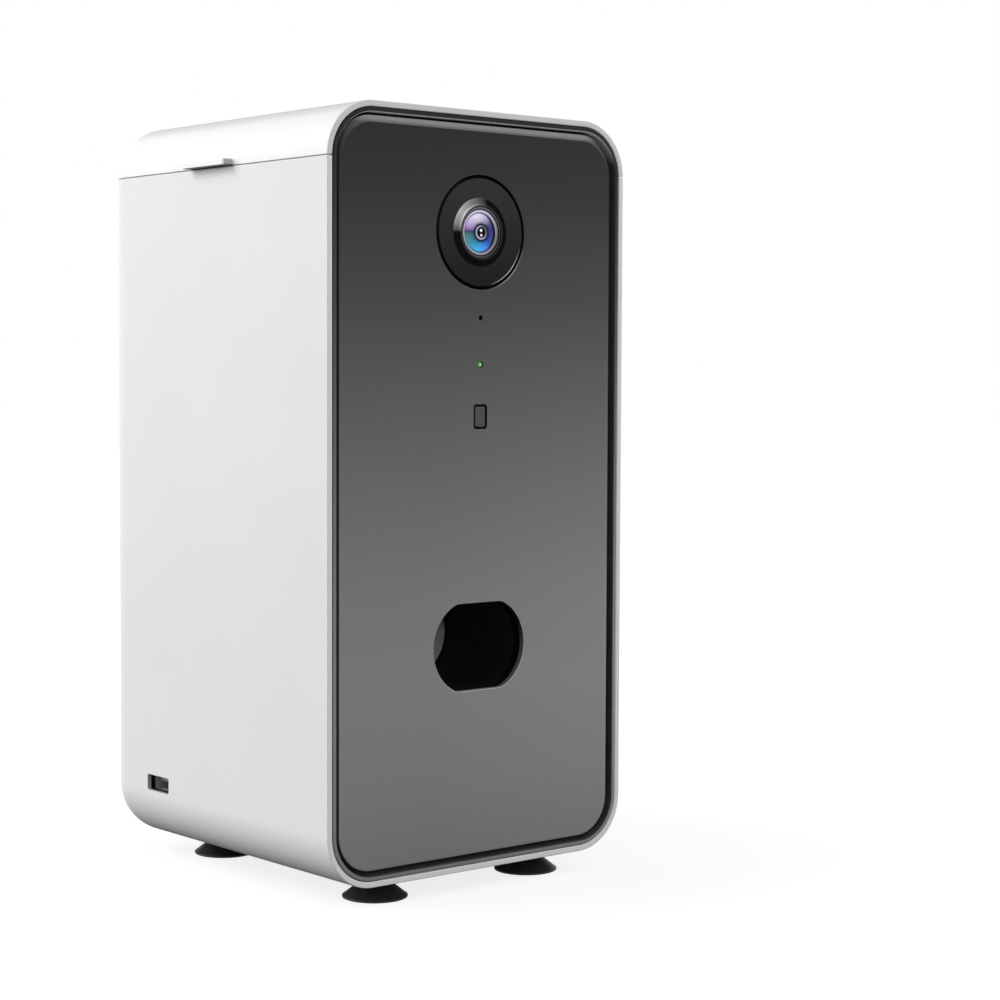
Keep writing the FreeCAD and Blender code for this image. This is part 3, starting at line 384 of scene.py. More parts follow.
def add_perforated_plate(bm, lofts, front_finish=0):
    """A plate of its rim and its holes, each the rings and bands of a loft from front to back."""
    fronts, backs = [], []
    for rings, bands in lofts:
        made = add_loft(bm, rings, bands=bands)
        fronts += ring_edges(bm, made[0])
        backs += ring_edges(bm, made[-1])
    for edges, index in ((fronts, front_finish), (backs, 0)):
        filled = bmesh.ops.triangle_fill(bm, edges=edges, use_beauty=True, use_dissolve=False)
        for part in filled["geom"]:
            if isinstance(part, bmesh.types.BMFace):
                part.material_index = index


# A point of a turned solid, from its radius, its angle and its distance along the axis.
AXES = {
    "X": lambda r, a, h: (h, r * cos(a), r * sin(a)),
    "Y": lambda r, a, h: (r * cos(a), h, r * sin(a)),
    "Z": lambda r, a, h: (r * cos(a), r * sin(a), h),
}


def add_turned(bm, profile, place, axis, steps, bands=None):
    """A turned solid from (radius, distance) corners, closed on the axis or on themselves."""
    place = Vector(place)
    rings = []
    for r, h in profile:
        count = steps if r > 1e-6 else 1
        angles = [2 * pi * i / count for i in range(count)]
        rings.append([bm.verts.new(place + Vector(AXES[axis](r, a, h))) for a in angles])
    pairs = list(zip(rings, rings[1:]))
    if len(rings[0]) > 1 or len(rings[-1]) > 1:
        pairs.append((rings[-1], rings[0]))
    for index, (a, b) in enumerate(pairs):
        for i in range(steps):
            if len(a) > 1 and len(b) > 1:
                corners = [a[i - 1], a[i], b[i], b[i - 1]]
            elif len(a) == 1:
                corners = [a[0], b[i], b[i - 1]]
            else:
                corners = [a[i - 1], a[i], b[0]]
            face = bm.faces.new(corners)
            face.material_index = bands[index] if bands else 0


def turned_object(name, profile, place, axis, steps, bands=None):
    bm = bmesh.new()
    add_turned(bm, profile, place, axis, steps, bands)
    return to_object(bm, name)


def add_box(bm, low, high):
    made = bmesh.ops.create_cube(bm, size=1.0)
    low, high = Vector(low), Vector(high)
    for v in made["verts"]:
        v.co = Vector(l + (c + 0.5) * (h - l) for l, h, c in zip(low, high, v.co))


def join_into(obj, bm):
    """Adds more closed parts to an object's mesh."""
    bmesh.ops.recalc_face_normals(bm, faces=bm.faces)
    bm.from_mesh(obj.data)
    bm.to_mesh(obj.data)
    bm.free()


def lay_along_y(obj, spot):
    """Turns a mesh made along Z to run along Y, and moves it to a spot."""
    obj.data.transform(Matrix.Translation(spot) @ Matrix.Rotation(-pi / 2, 4, "X"))


def settle(obj):
    """Turns what an object's modifiers give into its plain mesh."""
    graph = bpy.context.evaluated_depsgraph_get()
    old = obj.data
    mesh = bpy.data.meshes.new_from_object(obj.evaluated_get(graph))
    obj.modifiers.clear()
    obj.data = mesh
    mesh.name = obj.name
    bpy.data.meshes.remove(old)
    return obj


def discard(obj):
    mesh = obj.data
    bpy.data.objects.remove(obj)
    bpy.data.meshes.remove(mesh)


def carve(obj, cutter):
    """Takes the cutter's shape out of an object and removes the cutter."""
    cut = obj.modifiers.new("Carve", "BOOLEAN")
    cut.operation = "DIFFERENCE"
    cut.solver = "EXACT"
    cut.object = cutter
    settle(obj)
    discard(cutter)
    return obj


def soften_edges(obj, width):
    """A narrow rounding on an object's hard edges."""
    bevel = obj.modifiers.new("Edges", "BEVEL")
    bevel.width = width
    bevel.segments = 2
    bevel.limit_method = "ANGLE"
    bevel.angle_limit = radians(50)
    bevel.use_clamp_overlap = True
    return settle(obj)


def finish_piece(obj, body, materials, nodes):
    """Scales a piece to metres, gives it its finish and lets it ride on its body."""
    mesh = obj.data
    mesh.transform(Matrix.Scale(0.001, 4))
    finish_of_face = [face.material_index for face in mesh.polygons]
    mesh.materials.clear()
    for material in materials:
        mesh.materials.append(material)
    mesh.polygons.foreach_set("material_index", finish_of_face)
    mesh.polygons.foreach_set("use_smooth", [True] * len(mesh.polygons))
    mesh.set_sharp_from_angle(angle=SHARP_ANGLE)
    obj.modifiers.new("Even Shading", "WEIGHTED_NORMAL").keep_sharp = True
    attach(obj, body)
    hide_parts(*nodes)


# ---- geometry node trees ----
def new_tree(name, inputs):
    """An empty geometry node tree with named inputs and one geometry output."""
    tree = bpy.data.node_groups.new(name, "GeometryNodeTree")
    tree.interface.new_socket("Geometry", in_out="INPUT", socket_type="NodeSocketGeometry")
    for label, kind in inputs:
        tree.interface.new_socket(label, in_out="INPUT", socket_type=kind)
    tree.interface.new_socket("Geometry", in_out="OUTPUT", socket_type="NodeSocketGeometry")
    return tree, tree.nodes.new("NodeGroupInput").outputs, tree.nodes.new("NodeGroupOutput").inputs


def node(tree, kind, inputs=None, **options):
    """Adds a node, sets its options and fills or links its inputs."""
    made = tree.nodes.new(kind)
    for key, value in options.items():
        setattr(made, key, value)
    for key, value in (inputs or {}).items():
        if isinstance(value, bpy.types.NodeSocket):
            tree.links.new(value, made.inputs[key])
        else:
            made.inputs[key].default_value = value
    return made


def math_node(tree, operation, a, b=0.0):
    return node(tree, "ShaderNodeMath", {0: a, 1: b}, operation=operation).outputs[0]


def end_tree(tree, geometry, given, out):
    """Makes instances real, gives them their material and ends the tree."""
    real = node(tree, "GeometryNodeRealizeInstances", {"Geometry": geometry})
    dressed = node(tree, "GeometryNodeSetMaterial",
                   {"Geometry": real.outputs["Geometry"], "Material": given["Material"]})
    tree.links.new(dressed.outputs["Geometry"], out["Geometry"])
    return tree


def copy_solid(tree, points, given, out, scale=(1, 1, 1)):
    """Copies the given solid to points and ends the tree."""
    solid = node(tree, "GeometryNodeObjectInfo", {"Object": given["Solid"]})
    copies = node(tree, "GeometryNodeInstanceOnPoints", {
        "Points": points, "Instance": solid.outputs["Geometry"], "Scale": scale})
    return end_tree(tree, copies.outputs["Instances"], given, out)


def run_tree(obj, tree, values):
    """Puts a tree on an object with its inputs and turns the result into a plain mesh."""
    modifier = obj.modifiers.new(tree.name, "NODES")
    modifier.node_group = tree
    for item in tree.interface.items_tree:
        if item.item_type == "SOCKET" and item.in_out == "INPUT" and item.name in values:
            modifier[item.identifier] = values[item.name]
    return settle(obj)


def copies_tree():
    """One solid copied to every point and stretched by the point's own size."""
    tree, given, out = new_tree("Copies On Points", [
        ("Solid", "NodeSocketObject"), ("Material", "NodeSocketMaterial")])
    size = node(tree, "GeometryNodeInputNamedAttribute", {"Name": "size"},
                data_type="FLOAT_VECTOR")
    return copy_solid(tree, given["Geometry"], given, out, size.outputs["Attribute"])


def grille_tree():
    """A solid copied over a triangular grid, out to a number of rings."""
    tree, given, out = new_tree("Speaker Grille", [
        ("Solid", "NodeSocketObject"), ("Pitch", "NodeSocketFloat"), ("Rings", "NodeSocketInt"),
        ("Material", "NodeSocketMaterial")])
    times, plus = partial(math_node, tree, "MULTIPLY"), partial(math_node, tree, "ADD")
    count = plus(times(given["Rings"], 2.0), 3.0)
    spaces = math_node(tree, "SUBTRACT", count, 1.0)
    row = times(given["Pitch"], sin(radians(60)))
    grid = node(tree, "GeometryNodeMeshGrid", {
        "Size X": times(spaces, given["Pitch"]), "Size Y": times(spaces, row),
        "Vertices X": count, "Vertices Y": count})
    place = node(tree, "GeometryNodeInputPosition").outputs["Position"]
    spot = node(tree, "ShaderNodeSeparateXYZ", {"Vector": place})
    line = math_node(tree, "ROUND", math_node(tree, "DIVIDE", spot.outputs["Y"], row))
    odd = times(math_node(tree, "PINGPONG", line, 1.0), 0.5)
    shift = node(tree, "ShaderNodeCombineXYZ", {"X": times(odd, given["Pitch"])})
    moved = node(tree, "GeometryNodeSetPosition", {
        "Geometry": grid.outputs["Mesh"], "Offset": shift.outputs["Vector"]})
    distance = node(tree, "ShaderNodeVectorMath", {0: place}, operation="LENGTH")
    outside = node(tree, "FunctionNodeCompare", {
        0: distance.outputs["Value"], 1: times(plus(given["Rings"], 0.1), given["Pitch"])},
        operation="GREATER_THAN")
    kept = node(tree, "GeometryNodeDeleteGeometry", {
        "Geometry": moved.outputs["Geometry"], "Selection": outside.outputs["Result"]})
    return copy_solid(tree, kept.outputs["Geometry"], given, out)


def spring_tree():
    """A round wire wound along Z."""
    tree, given, out = new_tree("Wound Spring", [
        ("Turns", "NodeSocketFloat"), ("Radius", "NodeSocketFloat"),
        ("Length", "NodeSocketFloat"), ("Wire", "NodeSocketFloat"),
        ("Material", "NodeSocketMaterial")])
    line = node(tree, "GeometryNodeCurveSpiral", {
        "Resolution": 40, "Rotations": given["Turns"], "Start Radius": given["Radius"],
        "End Radius": given["Radius"], "Height": given["Length"]})
    section = node(tree, "GeometryNodeCurvePrimitiveCircle", {
        "Resolution": 14, "Radius": given["Wire"]})
    wire = node(tree, "GeometryNodeCurveToMesh", {
        "Curve": line.outputs["Curve"], "Profile Curve": section.outputs["Curve"],
        "Fill Caps": True})
    smooth = node(tree, "GeometryNodeSetShadeSmooth", {"Geometry": wire.outputs["Mesh"]})
    return end_tree(tree, smooth.outputs["Geometry"], given, out)


# ---- materials ----
class Finish:
    """A principled material under construction, in object coordinates."""

    def __init__(self, name, **values):
        self.material = bpy.data.materials.new(name)
        self.material.use_nodes = True
        self.tree = self.material.node_tree
        self.shader = self.tree.nodes["Principled BSDF"]
        self.place = node(self.tree, "ShaderNodeTexCoord").outputs["Object"]
        for key, value in values.items():
            socket = self.shader.inputs[key.replace("_", " ").title().replace("Ior", "IOR")]
            socket.default_value = value

    def set(self, key, value):
        self.tree.links.new(value, self.shader.inputs[key])

    def axis(self, name):
        return node(self.tree, "ShaderNodeSeparateXYZ", {"Vector": self.place}).outputs[name]

    def noise(self, size, detail=2.0, stretch=None):
        """Soft noise whose blotches are about a given number of millimetres wide."""
        vector = self.place
        if stretch:
            vector = node(self.tree, "ShaderNodeMapping", {
                "Vector": self.place, "Scale": stretch}).outputs[0]
        return node(self.tree, "ShaderNodeTexNoise", {
            "Vector": vector, "Scale": 1000.0 / size, "Detail": detail}).outputs["Fac"]

    def cells(self, size):
        return node(self.tree, "ShaderNodeTexVoronoi", {
            "Vector": self.place, "Scale": 1000.0 / size}).outputs["Distance"]

    def span(self, value, low, high, from_low=0.3, from_high=0.7):
        return node(self.tree, "ShaderNodeMapRange", {
            "Value": value, "From Min": from_low, "From Max": from_high,
            "To Min": low, "To Max": high}).outputs["Result"]

    def ramp(self, value, stops, whole=1.0, mode="LINEAR"):
        """A ramp over (place, grey or colour) stops, the places as parts of a whole."""
        made = node(self.tree, "ShaderNodeValToRGB", {"Fac": value})
        band = made.color_ramp
        band.interpolation = mode
        while len(band.elements) < len(stops):
            band.elements.new(0.5)
        for element, (place, _) in zip(band.elements, stops):
            element.position = place / whole
        for element, (_, tint) in zip(band.elements, stops):
            element.color = (*(tint if isinstance(tint, tuple) else (tint,) * 3), 1.0)
        return made.outputs["Color"]

    def band(self, value, low, high, stops, whole=1.0, mode="LINEAR"):
        """A ramp over a value's way from low to high."""
        return self.ramp(self.span(value, 0.0, 1.0, low, high), stops, whole, mode)

    def along(self, axis, low, high, stops, whole=1.0, mode="LINEAR"):
        """A ramp along an axis, from low to high in millimetres."""
        return self.band(self.axis(axis), low / 1000, high / 1000, stops, whole, mode)

    def blend(self, factor, a, b, mode="MIX"):
        made = node(self.tree, "ShaderNodeMix", data_type="RGBA", blend_type=mode)
        for socket, value in (("Factor_Float", factor), ("A_Color", a), ("B_Color", b)):
            target = next(i for i in made.inputs if i.identifier == socket)
            if isinstance(value, bpy.types.NodeSocket):
                self.tree.links.new(value, target)
            else:
                target.default_value = value if isinstance(value, float) else (*value, 1.0)
        return next(o for o in made.outputs if o.identifier == "Result_Color")

    def times(self, a, b):
        return self.blend(1.0, a, b, "MULTIPLY")

    def plus(self, a, b):
        return self.blend(1.0, a, b, "ADD")

    def shades(self, value, tint, amount):
        """A colour that drifts a little lighter and darker with a pattern."""
        dark = tuple(c * (1 - amount) for c in tint)
        light = tuple(min(1.0, c * (1 + amount)) for c in tint)
        return self.ramp(value, [(0.3, dark), (0.7, light)])

    def relief(self, value, depth, strength):
        """A bump of a depth in millimetres."""
        bump = node(self.tree, "ShaderNodeBump", {
            "Height": value, "Distance": depth / 1000, "Strength": strength})
        self.set("Normal", bump.outputs["Normal"])

    def done(self, colour, gloss, relief):
        """The material, its roughness from (pattern, low, high), its relief from (pattern, depth,
        strength)."""
        self.set("Base Color", colour)
        self.set("Roughness", self.span(*gloss))
        self.relief(*relief)
        return self.material


def moulded(name, tint, roughness=0.42, drift=0.03, specular=0.5):
    """Moulded plastic with an eroded grain and a faint drift of colour and gloss."""
    f = Finish(name, specular_ior_level=specular)
    return f.done(f.shades(f.noise(38, 3.0), tint, drift),
                  (f.noise(6, 4.0), roughness - 0.05, roughness + 0.05),
                  (f.noise(0.45, 3.0), 0.02, 0.35))


def machined(name, tint, roughness=0.28):
    """Bright metal with fine lines left by the tool."""
    f = Finish(name, metallic=1.0)
    lines = f.noise(3, 4.0, (1, 1, 40))
    return f.done(f.shades(f.noise(9, 3.0), tint, 0.06),
                  (lines, roughness - 0.08, roughness + 0.1), (lines, 0.01, 0.3))


def rubber(name, tint, roughness=0.5):
    """Soft rubber: matt, dusty in places, with a fine skin."""
    f = Finish(name, specular_ior_level=0.35, sheen_weight=0.1, sheen_roughness=0.5)
    return f.done(f.shades(f.noise(5, 4.0), tint, 0.18),
                  (f.noise(2.5, 4.0), roughness - 0.08, roughness + 0.1),
                  (f.noise(0.5, 3.0), 0.03, 0.4))


def graded(name, specular, along, gloss, size=3, grain=0.45, depth=0.02, strength=0.35):
    """Plastic whose grey changes along an axis, from (axis, low, high, stops)."""
    f = Finish(name, specular_ior_level=specular)
    return f.done(f.along(*along), (f.noise(size, 3.0), *gloss),
                  (f.noise(grain, 3.0), depth, strength))


def top_light(f, s, stops):
    """Grey that grows towards the shell's top, from (millimetres below the top, grey) pairs."""
    deep = stops[0][0]
    rising = [(deep - down, grey) for down, grey in stops]
    return f.along("Z", s.top - deep, s.top, rising, deep)


# Painted reflection on the graphite: share of the low tint, from the shell's bottom to its top, lightest
# low down and darkest at the top.
PAINTED_REFLECTION_RISE = ((0.0, 0.85), (0.12, 1.02), (0.25, 1.1), (0.37, 0.98), (0.49, 0.76),
                 (0.755, 0.245), (0.89, 0.075), (1.0, 0.0))


def graphite(name, front, s, strength=1.0, light=None, roughness=0.3):
    """Satin graphite lacquer with a painted reflection, darker towards the top and a little lighter to the
    right, with a metallic grain and any added painted light.
    """
    f = Finish(name, specular_ior_level=0.2)
    low, high = Vector(front.low_tint) * strength, Vector(front.high_tint) * strength
    base = f.along("Z", s.bottom, s.top, [(p, tuple(high.lerp(low, w))) for p, w in PAINTED_REFLECTION_RISE])
    # Painted reflection: the graphite a little lighter towards the right.
    across = f.span(f.axis("X"), 1.0, 1.14, -0.02, 0.056)
    fleck = f.span(f.noise(0.5), 0.97, 1.03)
    tone = f.times(base, math_node(f.tree, "MULTIPLY", across, fleck))
    return f.done(f.plus(tone, light(f)) if light else tone,
                  (f.noise(3.0, 4.0), roughness - 0.03, roughness + 0.04),
                  (f.noise(0.4), 0.003, 0.09))


def round_place(f, centre):
    """Bearing about an axis along Y as a share of a turn from the right, and the place in front
    view."""
    local = node(f.tree, "ShaderNodeMapping", {
        "Vector": f.place, "Location": (-centre.x / 1000, 0.0, -centre.z / 1000)}).outputs[0]
    x, _, z = node(f.tree, "ShaderNodeSeparateXYZ", {"Vector": local}).outputs
    flat = node(f.tree, "ShaderNodeCombineXYZ", {"X": x, "Y": z}).outputs[0]
    bearing = math_node(f.tree, "DIVIDE", math_node(f.tree, "ARCTAN2", z, x), 2 * pi)
    return math_node(f.tree, "FRACT", math_node(f.tree, "ADD", bearing, 1.0)), flat


def away_from(f, flat, x=0.0, z=0.0):
    """Distance in millimetres from a point of the front view."""
    gap = node(f.tree, "ShaderNodeVectorMath", {0: flat, 1: (x / 1000, z / 1000, 0.0)},
               operation="DISTANCE")
    return math_node(f.tree, "MULTIPLY", gap.outputs["Value"], 1000.0)


def turned_lines(f, radius, size):
    """Fine rings left by a lathe."""
    return node(f.tree, "ShaderNodeTexNoise", {
        "Vector": node(f.tree, "ShaderNodeCombineXYZ", {"X": radius}).outputs[0],
        "Scale": 1.0 / size, "Detail": 2.0}).outputs["Fac"]


def lower_right(f, bearing):
    """Mask of a painted highlight: 1 on the lower right of a round edge, fading to 0."""
    return f.ramp(bearing, [(282, 0.0), (300, 0.7), (320, 1.0), (346, 0.0)], TURN)


def dish_black(name, centre):
    """Satin black of the camera dish with painted shade, darker towards its foot, and a painted highlight
    on its edge low on the right.
    """
    f = Finish(name, specular_ior_level=0.06)
    bearing, flat = round_place(f, centre)
    radius = away_from(f, flat)
    depth = f.along("Z", centre.z - DISH_RADIUS, centre.z + DISH_RADIUS,
                    [(0.0, 0.014), (1.0, 0.05)])
    edge = f.band(radius, DISH_RADIUS - 0.5, DISH_RADIUS + 0.5, [(0.05, 0.0), (0.2, 1.0)])
    lines = turned_lines(f, radius, 0.16)
    return f.done(f.blend(f.times(lower_right(f, bearing), edge), depth, (0.7, 0.7, 0.7)),
                  (lines, 0.31, 0.4), (lines, 0.006, 0.3))


def cone_grey(name, centre):
    """Cone with a painted highlight: metal and bright on its upper left arc, black on the rest, with a
    painted light line at its front edge.
    """
    f = Finish(name, specular_ior_level=0.0)
    bearing, flat = round_place(f, centre)
    radius = away_from(f, flat)
    highlight_arc = f.ramp(bearing, [(74, 0.009), (84, 0.05), (95, 0.1), (115, 0.22), (140, 0.42),
                                (158, 0.3), (178, 0.07), (181, 0.009)], TURN)
    # Painted light line along the cone's front edge.
    rim = f.band(radius, 8.0, 10.0, [(0.36, 0.12), (0.46, 0.0)])
    # Painted highlight made stronger at the cone's top and foot.
    across = f.band(radius, 8.6, 11.4, [
        (0.0, 1.7), (0.2, 1.5), (0.35, 0.95), (0.75, 1.0), (1.0, 1.35)])
    # Metal only where the painted highlight lies, black elsewhere.
    f.set("Metallic", f.ramp(bearing, [(74, 0.0), (84, 1.0), (178, 1.0), (181, 0.0)], TURN))
    return f.done(f.plus(f.times(highlight_arc, across), rim),
                  (turned_lines(f, radius, 0.3), 0.27, 0.4), (f.noise(0.4), 0.006, 0.2))


def lens_metal(name, centre):
    """Lilac metal ring, turned on a lathe, dark at both its edges, with painted light brightest at its
    upper left and painted shade towards its right.
    """
    f = Finish(name, metallic=1.0)
    bearing, flat = round_place(f, centre)
    radius = away_from(f, flat)
    dark, light, grey = (0.03, 0.028, 0.05), (0.56, 0.545, 0.62), (0.15, 0.145, 0.165)
    across = f.band(radius, 6.4, 8.4, [
        (0.0, dark), (0.06, light), (0.4, light), (0.48, dark), (0.66, dark), (0.74, grey),
        (1.0, grey)])
    lines = turned_lines(f, radius, 0.11)
    # Painted light and shade round the ring: brightest at the upper left, darkest at the right.
    shade = f.ramp(bearing, [(0, 0.4), (70, 0.8), (135, 1.0), (200, 0.85), (270, 0.6),
                             (330, 0.4)], TURN)
    return f.done(f.times(f.times(across, shade), f.ramp(lines, [(0.3, 0.9), (0.7, 1.0)])),
                  (lines, 0.26, 0.38), (lines, 0.005, 0.25))


def lens_coating(name, camera, centre):
    """Coated glass: colours turning round the lens, rings round a black pupil, two small painted glints."""
    f = Finish(name, metallic=1.0, coat_weight=0.15, coat_roughness=0.02)
    bearing, flat = round_place(f, centre)
    radius = away_from(f, flat)
    deep, pale, cold = camera.coat_deep, camera.coat_high, camera.coat_low
    around = f.ramp(bearing, [
        (0.0, deep), (0.055, (0.045, 0.045, 0.22)), (0.11, (0.11, 0.1, 0.26)),
        (0.165, (0.4, 0.35, 0.58)), (0.22, (0.64, 0.57, 0.85)), (0.29, pale),
        (0.375, (0.64, 0.53, 0.8)), (0.445, (0.42, 0.29, 0.6)), (0.478, (0.22, 0.11, 0.36)),
        (0.492, (0.045, 0.07, 0.13)), (0.53, (0.07, 0.22, 0.24)), (0.6, (0.045, 0.22, 0.3)),
        (0.67, (0.045, 0.3, 0.49)), (0.735, cold), (0.805, (0.045, 0.24, 0.7)),
        (0.89, (0.021, 0.08, 0.43)), (1.0, deep)])
    inner = f.band(radius, 0.0, GLASS_RADIUS, [
        (0.265, 0.0), (0.3, (0.5, 0.48, 0.6)), (0.34, (0.42, 0.4, 0.54)),
        (0.38, (0.005, 0.006, 0.04)), (0.46, (0.008, 0.01, 0.07))])
    # Painted light on the ring round the pupil: brightest at the left and bottom.
    turned = f.ramp(bearing, [(0, 0.45), (60, 0.25), (120, 0.8), (200, 1.0), (300, 0.9),
                              (360, 0.45)], TURN)
    outer = f.band(radius, 0.0, GLASS_RADIUS, [
        (0.43, 0.0), (0.51, 0.5), (0.65, 0.8), (0.85, 1.0), (0.93, 1.0), (0.97, 0.15)])
    tone = f.blend(1.0, f.times(inner, turned), f.times(around, outer), "LIGHTEN")
    # Two painted glints near the pupil.
    for x, z, size in ((-0.15, 0.66, 0.6), (-0.05, -0.9, 0.5)):
        glint = f.band(away_from(f, flat, x, z), 0.0, size, [(0.6, 1.0), (1.0, 0.0)])
        tone = f.blend(glint, tone, (0.95, 0.95, 0.98))
    f.set("Base Color", tone)
    f.set("Roughness", f.span(f.noise(4), 0.12, 0.18))
    return f.material


def lamp_green(name, tint, centre):
    """Green light pipe with a small bright middle."""
    f = Finish(name, roughness=0.25, emission_strength=0.6)
    tone = f.band(away_from(f, round_place(f, centre)[1], -0.1, 0.1), 0.0, 1.0, [
        (0.16, (0.32, 1.0, 0.22)), (0.45, tint), (0.95, tuple(c * 0.5 for c in tint))])
    f.set("Base Color", tone)
    f.set("Emission Color", tone)
    f.relief(f.noise(0.3), 0.004, 0.2)
    return f.material


def pad_grey(name, tint, edge_z):
    """Plunger pad with painted shade: light in its lower part, painted dark over it."""
    f = Finish(name, specular_ior_level=0.3)
    dark = tuple(c * 0.1 for c in tint)
    height = f.along("Z", edge_z - 3, edge_z + 3, [(0.0, tint), (1.0, dark)], mode="EASE")
    return f.done(f.times(height, f.ramp(f.noise(6, 3.0), [(0.3, 0.94), (0.7, 1.0)])),
                  (f.noise(3, 3.0), 0.45, 0.55), (f.noise(0.45, 3.0), 0.02, 0.35))


def printed_board(name):
    """Green solder mask with copper tracks, pads and a glass weave."""
    f = Finish(name, specular_ior_level=0.5)
    upright = node(f.tree, "ShaderNodeMapping", {"Vector": f.place, "Rotation": (pi / 2, 0, 0)})
    tracks = node(f.tree, "ShaderNodeTexBrick", {
        "Vector": upright.outputs[0], "Color1": (0.012, 0.085, 0.035, 1),
        "Color2": (0.014, 0.105, 0.045, 1), "Mortar": (0.03, 0.19, 0.075, 1), "Scale": 160.0,
        "Mortar Size": 0.035, "Bias": 0.0}, offset=0.37)
    pads = f.ramp(f.cells(3.1), [(0.09, 1.0), (0.13, 0.0)], mode="EASE")
    f.set("Metallic", pads)
    return f.done(f.blend(pads, tracks.outputs["Color"], (0.62, 0.60, 0.50)),
                  (f.noise(1.2, 3.0), 0.3, 0.42), (tracks.outputs["Fac"], 0.03, 0.4))


def flexible_film(name):
    """Amber film with conductors running down it."""
    f = Finish(name, specular_ior_level=0.5)
    lines = node(f.tree, "ShaderNodeTexWave", {
        "Vector": f.place, "Scale": 320.0, "Distortion": 0.0},
        wave_type="BANDS", bands_direction="X").outputs["Fac"]
    return f.done(f.ramp(lines, [(0.35, (0.38, 0.17, 0.03)), (0.6, (0.62, 0.35, 0.10))]),
                  (f.noise(3), 0.28, 0.4), (lines, 0.02, 0.3))


def speaker_paper(name):
    """Black pressed paper of the speaker cone."""
    f = Finish(name, specular_ior_level=0.25)
    return f.done(f.shades(f.cells(0.8), (0.02, 0.02, 0.022), 0.3),
                  (f.noise(1.0, 3.0), 0.6, 0.8), (f.cells(0.6), 0.05, 0.5))


finishes = {}


def finish(maker, name, *given, **options):
    """A material that is made once and then shared."""
    if name not in finishes:
        finishes[name] = maker(name, *given, **options)
    return finishes[name]


# ---- tub and lid ----
def shell_profile(s, rebate):
    """(inset, depth) from the outside back, round the front rim, to the inside back."""
    centre_y = s.back - s.back_edge
    outside = arc(s.back_edge, centre_y, s.back_edge, 90, 180, 16)
    rim = arc(s.rim_round, s.front + s.rim_round, s.rim_round, 180, 270, ROUND_STEPS)
    inside = arc(s.back_edge, centre_y, s.back_edge - s.wall, 180, 90, 16)
    step = [(s.rim - s.rim_chamfer, s.front), (s.rim, s.front + s.rim_chamfer),
            (s.rim, s.front + rebate), (s.wall, s.front + rebate)]
    return outside + rim + step + inside


def tub_path(s, inset):
    """Down the right side, along the bottom and up the left side, below the seam."""
    top = s.seam_z - s.seam / 2
    side = s.half_width - inset
    radius = s.corner - inset
    cx, cz = s.half_width - s.corner, s.bottom + s.corner
    return ([(side, top)] + arc(cx, cz, radius, 0, -90, CORNER_STEPS)
            + arc(-cx, cz, radius, -90, -180, CORNER_STEPS) + [(-side, top)])


def lid_path(s, inset):
    """Over the top from the right end of the seam to its left end."""
    radius = s.corner - inset
    cx, cz = s.half_width - s.corner, s.top - s.corner
    low = math.degrees(math.asin((s.seam_z + s.seam / 2 - cz) / radius))
    return (arc(cx, cz, radius, low, 90, CORNER_STEPS)
            + arc(-cx, cz, radius, 90, 180 - low, CORNER_STEPS))


def shell_white(name, s, tint, stops, rim_share=1.0, gloss=0.0):
    """White of the shell with painted shade by height behind its front rim, from (millimetres above the
    bottom, share) pairs, and a painted shade share of its own on the rim."""
    f = Finish(name, specular_ior_level=gloss)
    tone = f.shades(f.noise(38, 3.0), tint, 0.012)
    shaded = f.times(tone, f.along("Z", s.bottom, s.top, stops, s.top - s.bottom))
    on_rim = f.span(f.axis("Y"), 1.0, 0.0, (s.front + 0.3) / 1000, (s.front + 1.0) / 1000)
    return f.done(f.blend(on_rim, shaded, f.times(tone, (rim_share,) * 3)),
                  (f.noise(6, 4.0), 0.35, 0.45), (f.noise(0.45, 3.0), 0.02, 0.35))


def rim_finish():
    """The rim's inner edge, rubbed smooth and a shade lighter."""
    return finish(moulded, "Rim Edge", (0.95,) * 3, roughness=0.3, drift=0.005)


def shell_cup(s, path, rebate, name):
    """An open cup of the shell, closed by its seam face, whose edges are eased."""
    bm = bmesh.new()
    profile = shell_profile(s, rebate)
    chamfer = profile.index((s.rim - s.rim_chamfer, s.front))
    bands = [int(index == chamfer) for index in range(len(profile) - 1)]
    rings = [at_depth(path(s, inset), y) for inset, y in profile]
    made = add_loft(bm, rings, closed=False, bands=bands)
    bm.faces.new(made[0])
    bm.faces.new(made[-1])
    seam_face = bm.faces.new([r[0] for r in made] + [r[-1] for r in reversed(made)])
    weight = bm.edges.layers.float.new("bevel_weight_edge")
    for edge in seam_face.edges:
        edge[weight] = 1.0
    obj = to_object(bm, name)
    bevel = obj.modifiers.new("Seam Edge", "BEVEL")
    bevel.width = s.seam_edge
    bevel.segments = 2
    bevel.limit_method = "WEIGHT"
    bevel.use_clamp_overlap = False
    return settle(obj)


def knuckle_spans(s):
    """The lid's knuckle, then the body's two, as front and back ends."""
    start, end = s.hinge_y - s.lid_knuckle / 2, s.hinge_y + s.lid_knuckle / 2
    gap, more = s.knuckle_gap, s.body_knuckle
    return (start, end), [(start - gap - more, start - gap), (end + gap, end + gap + more)]


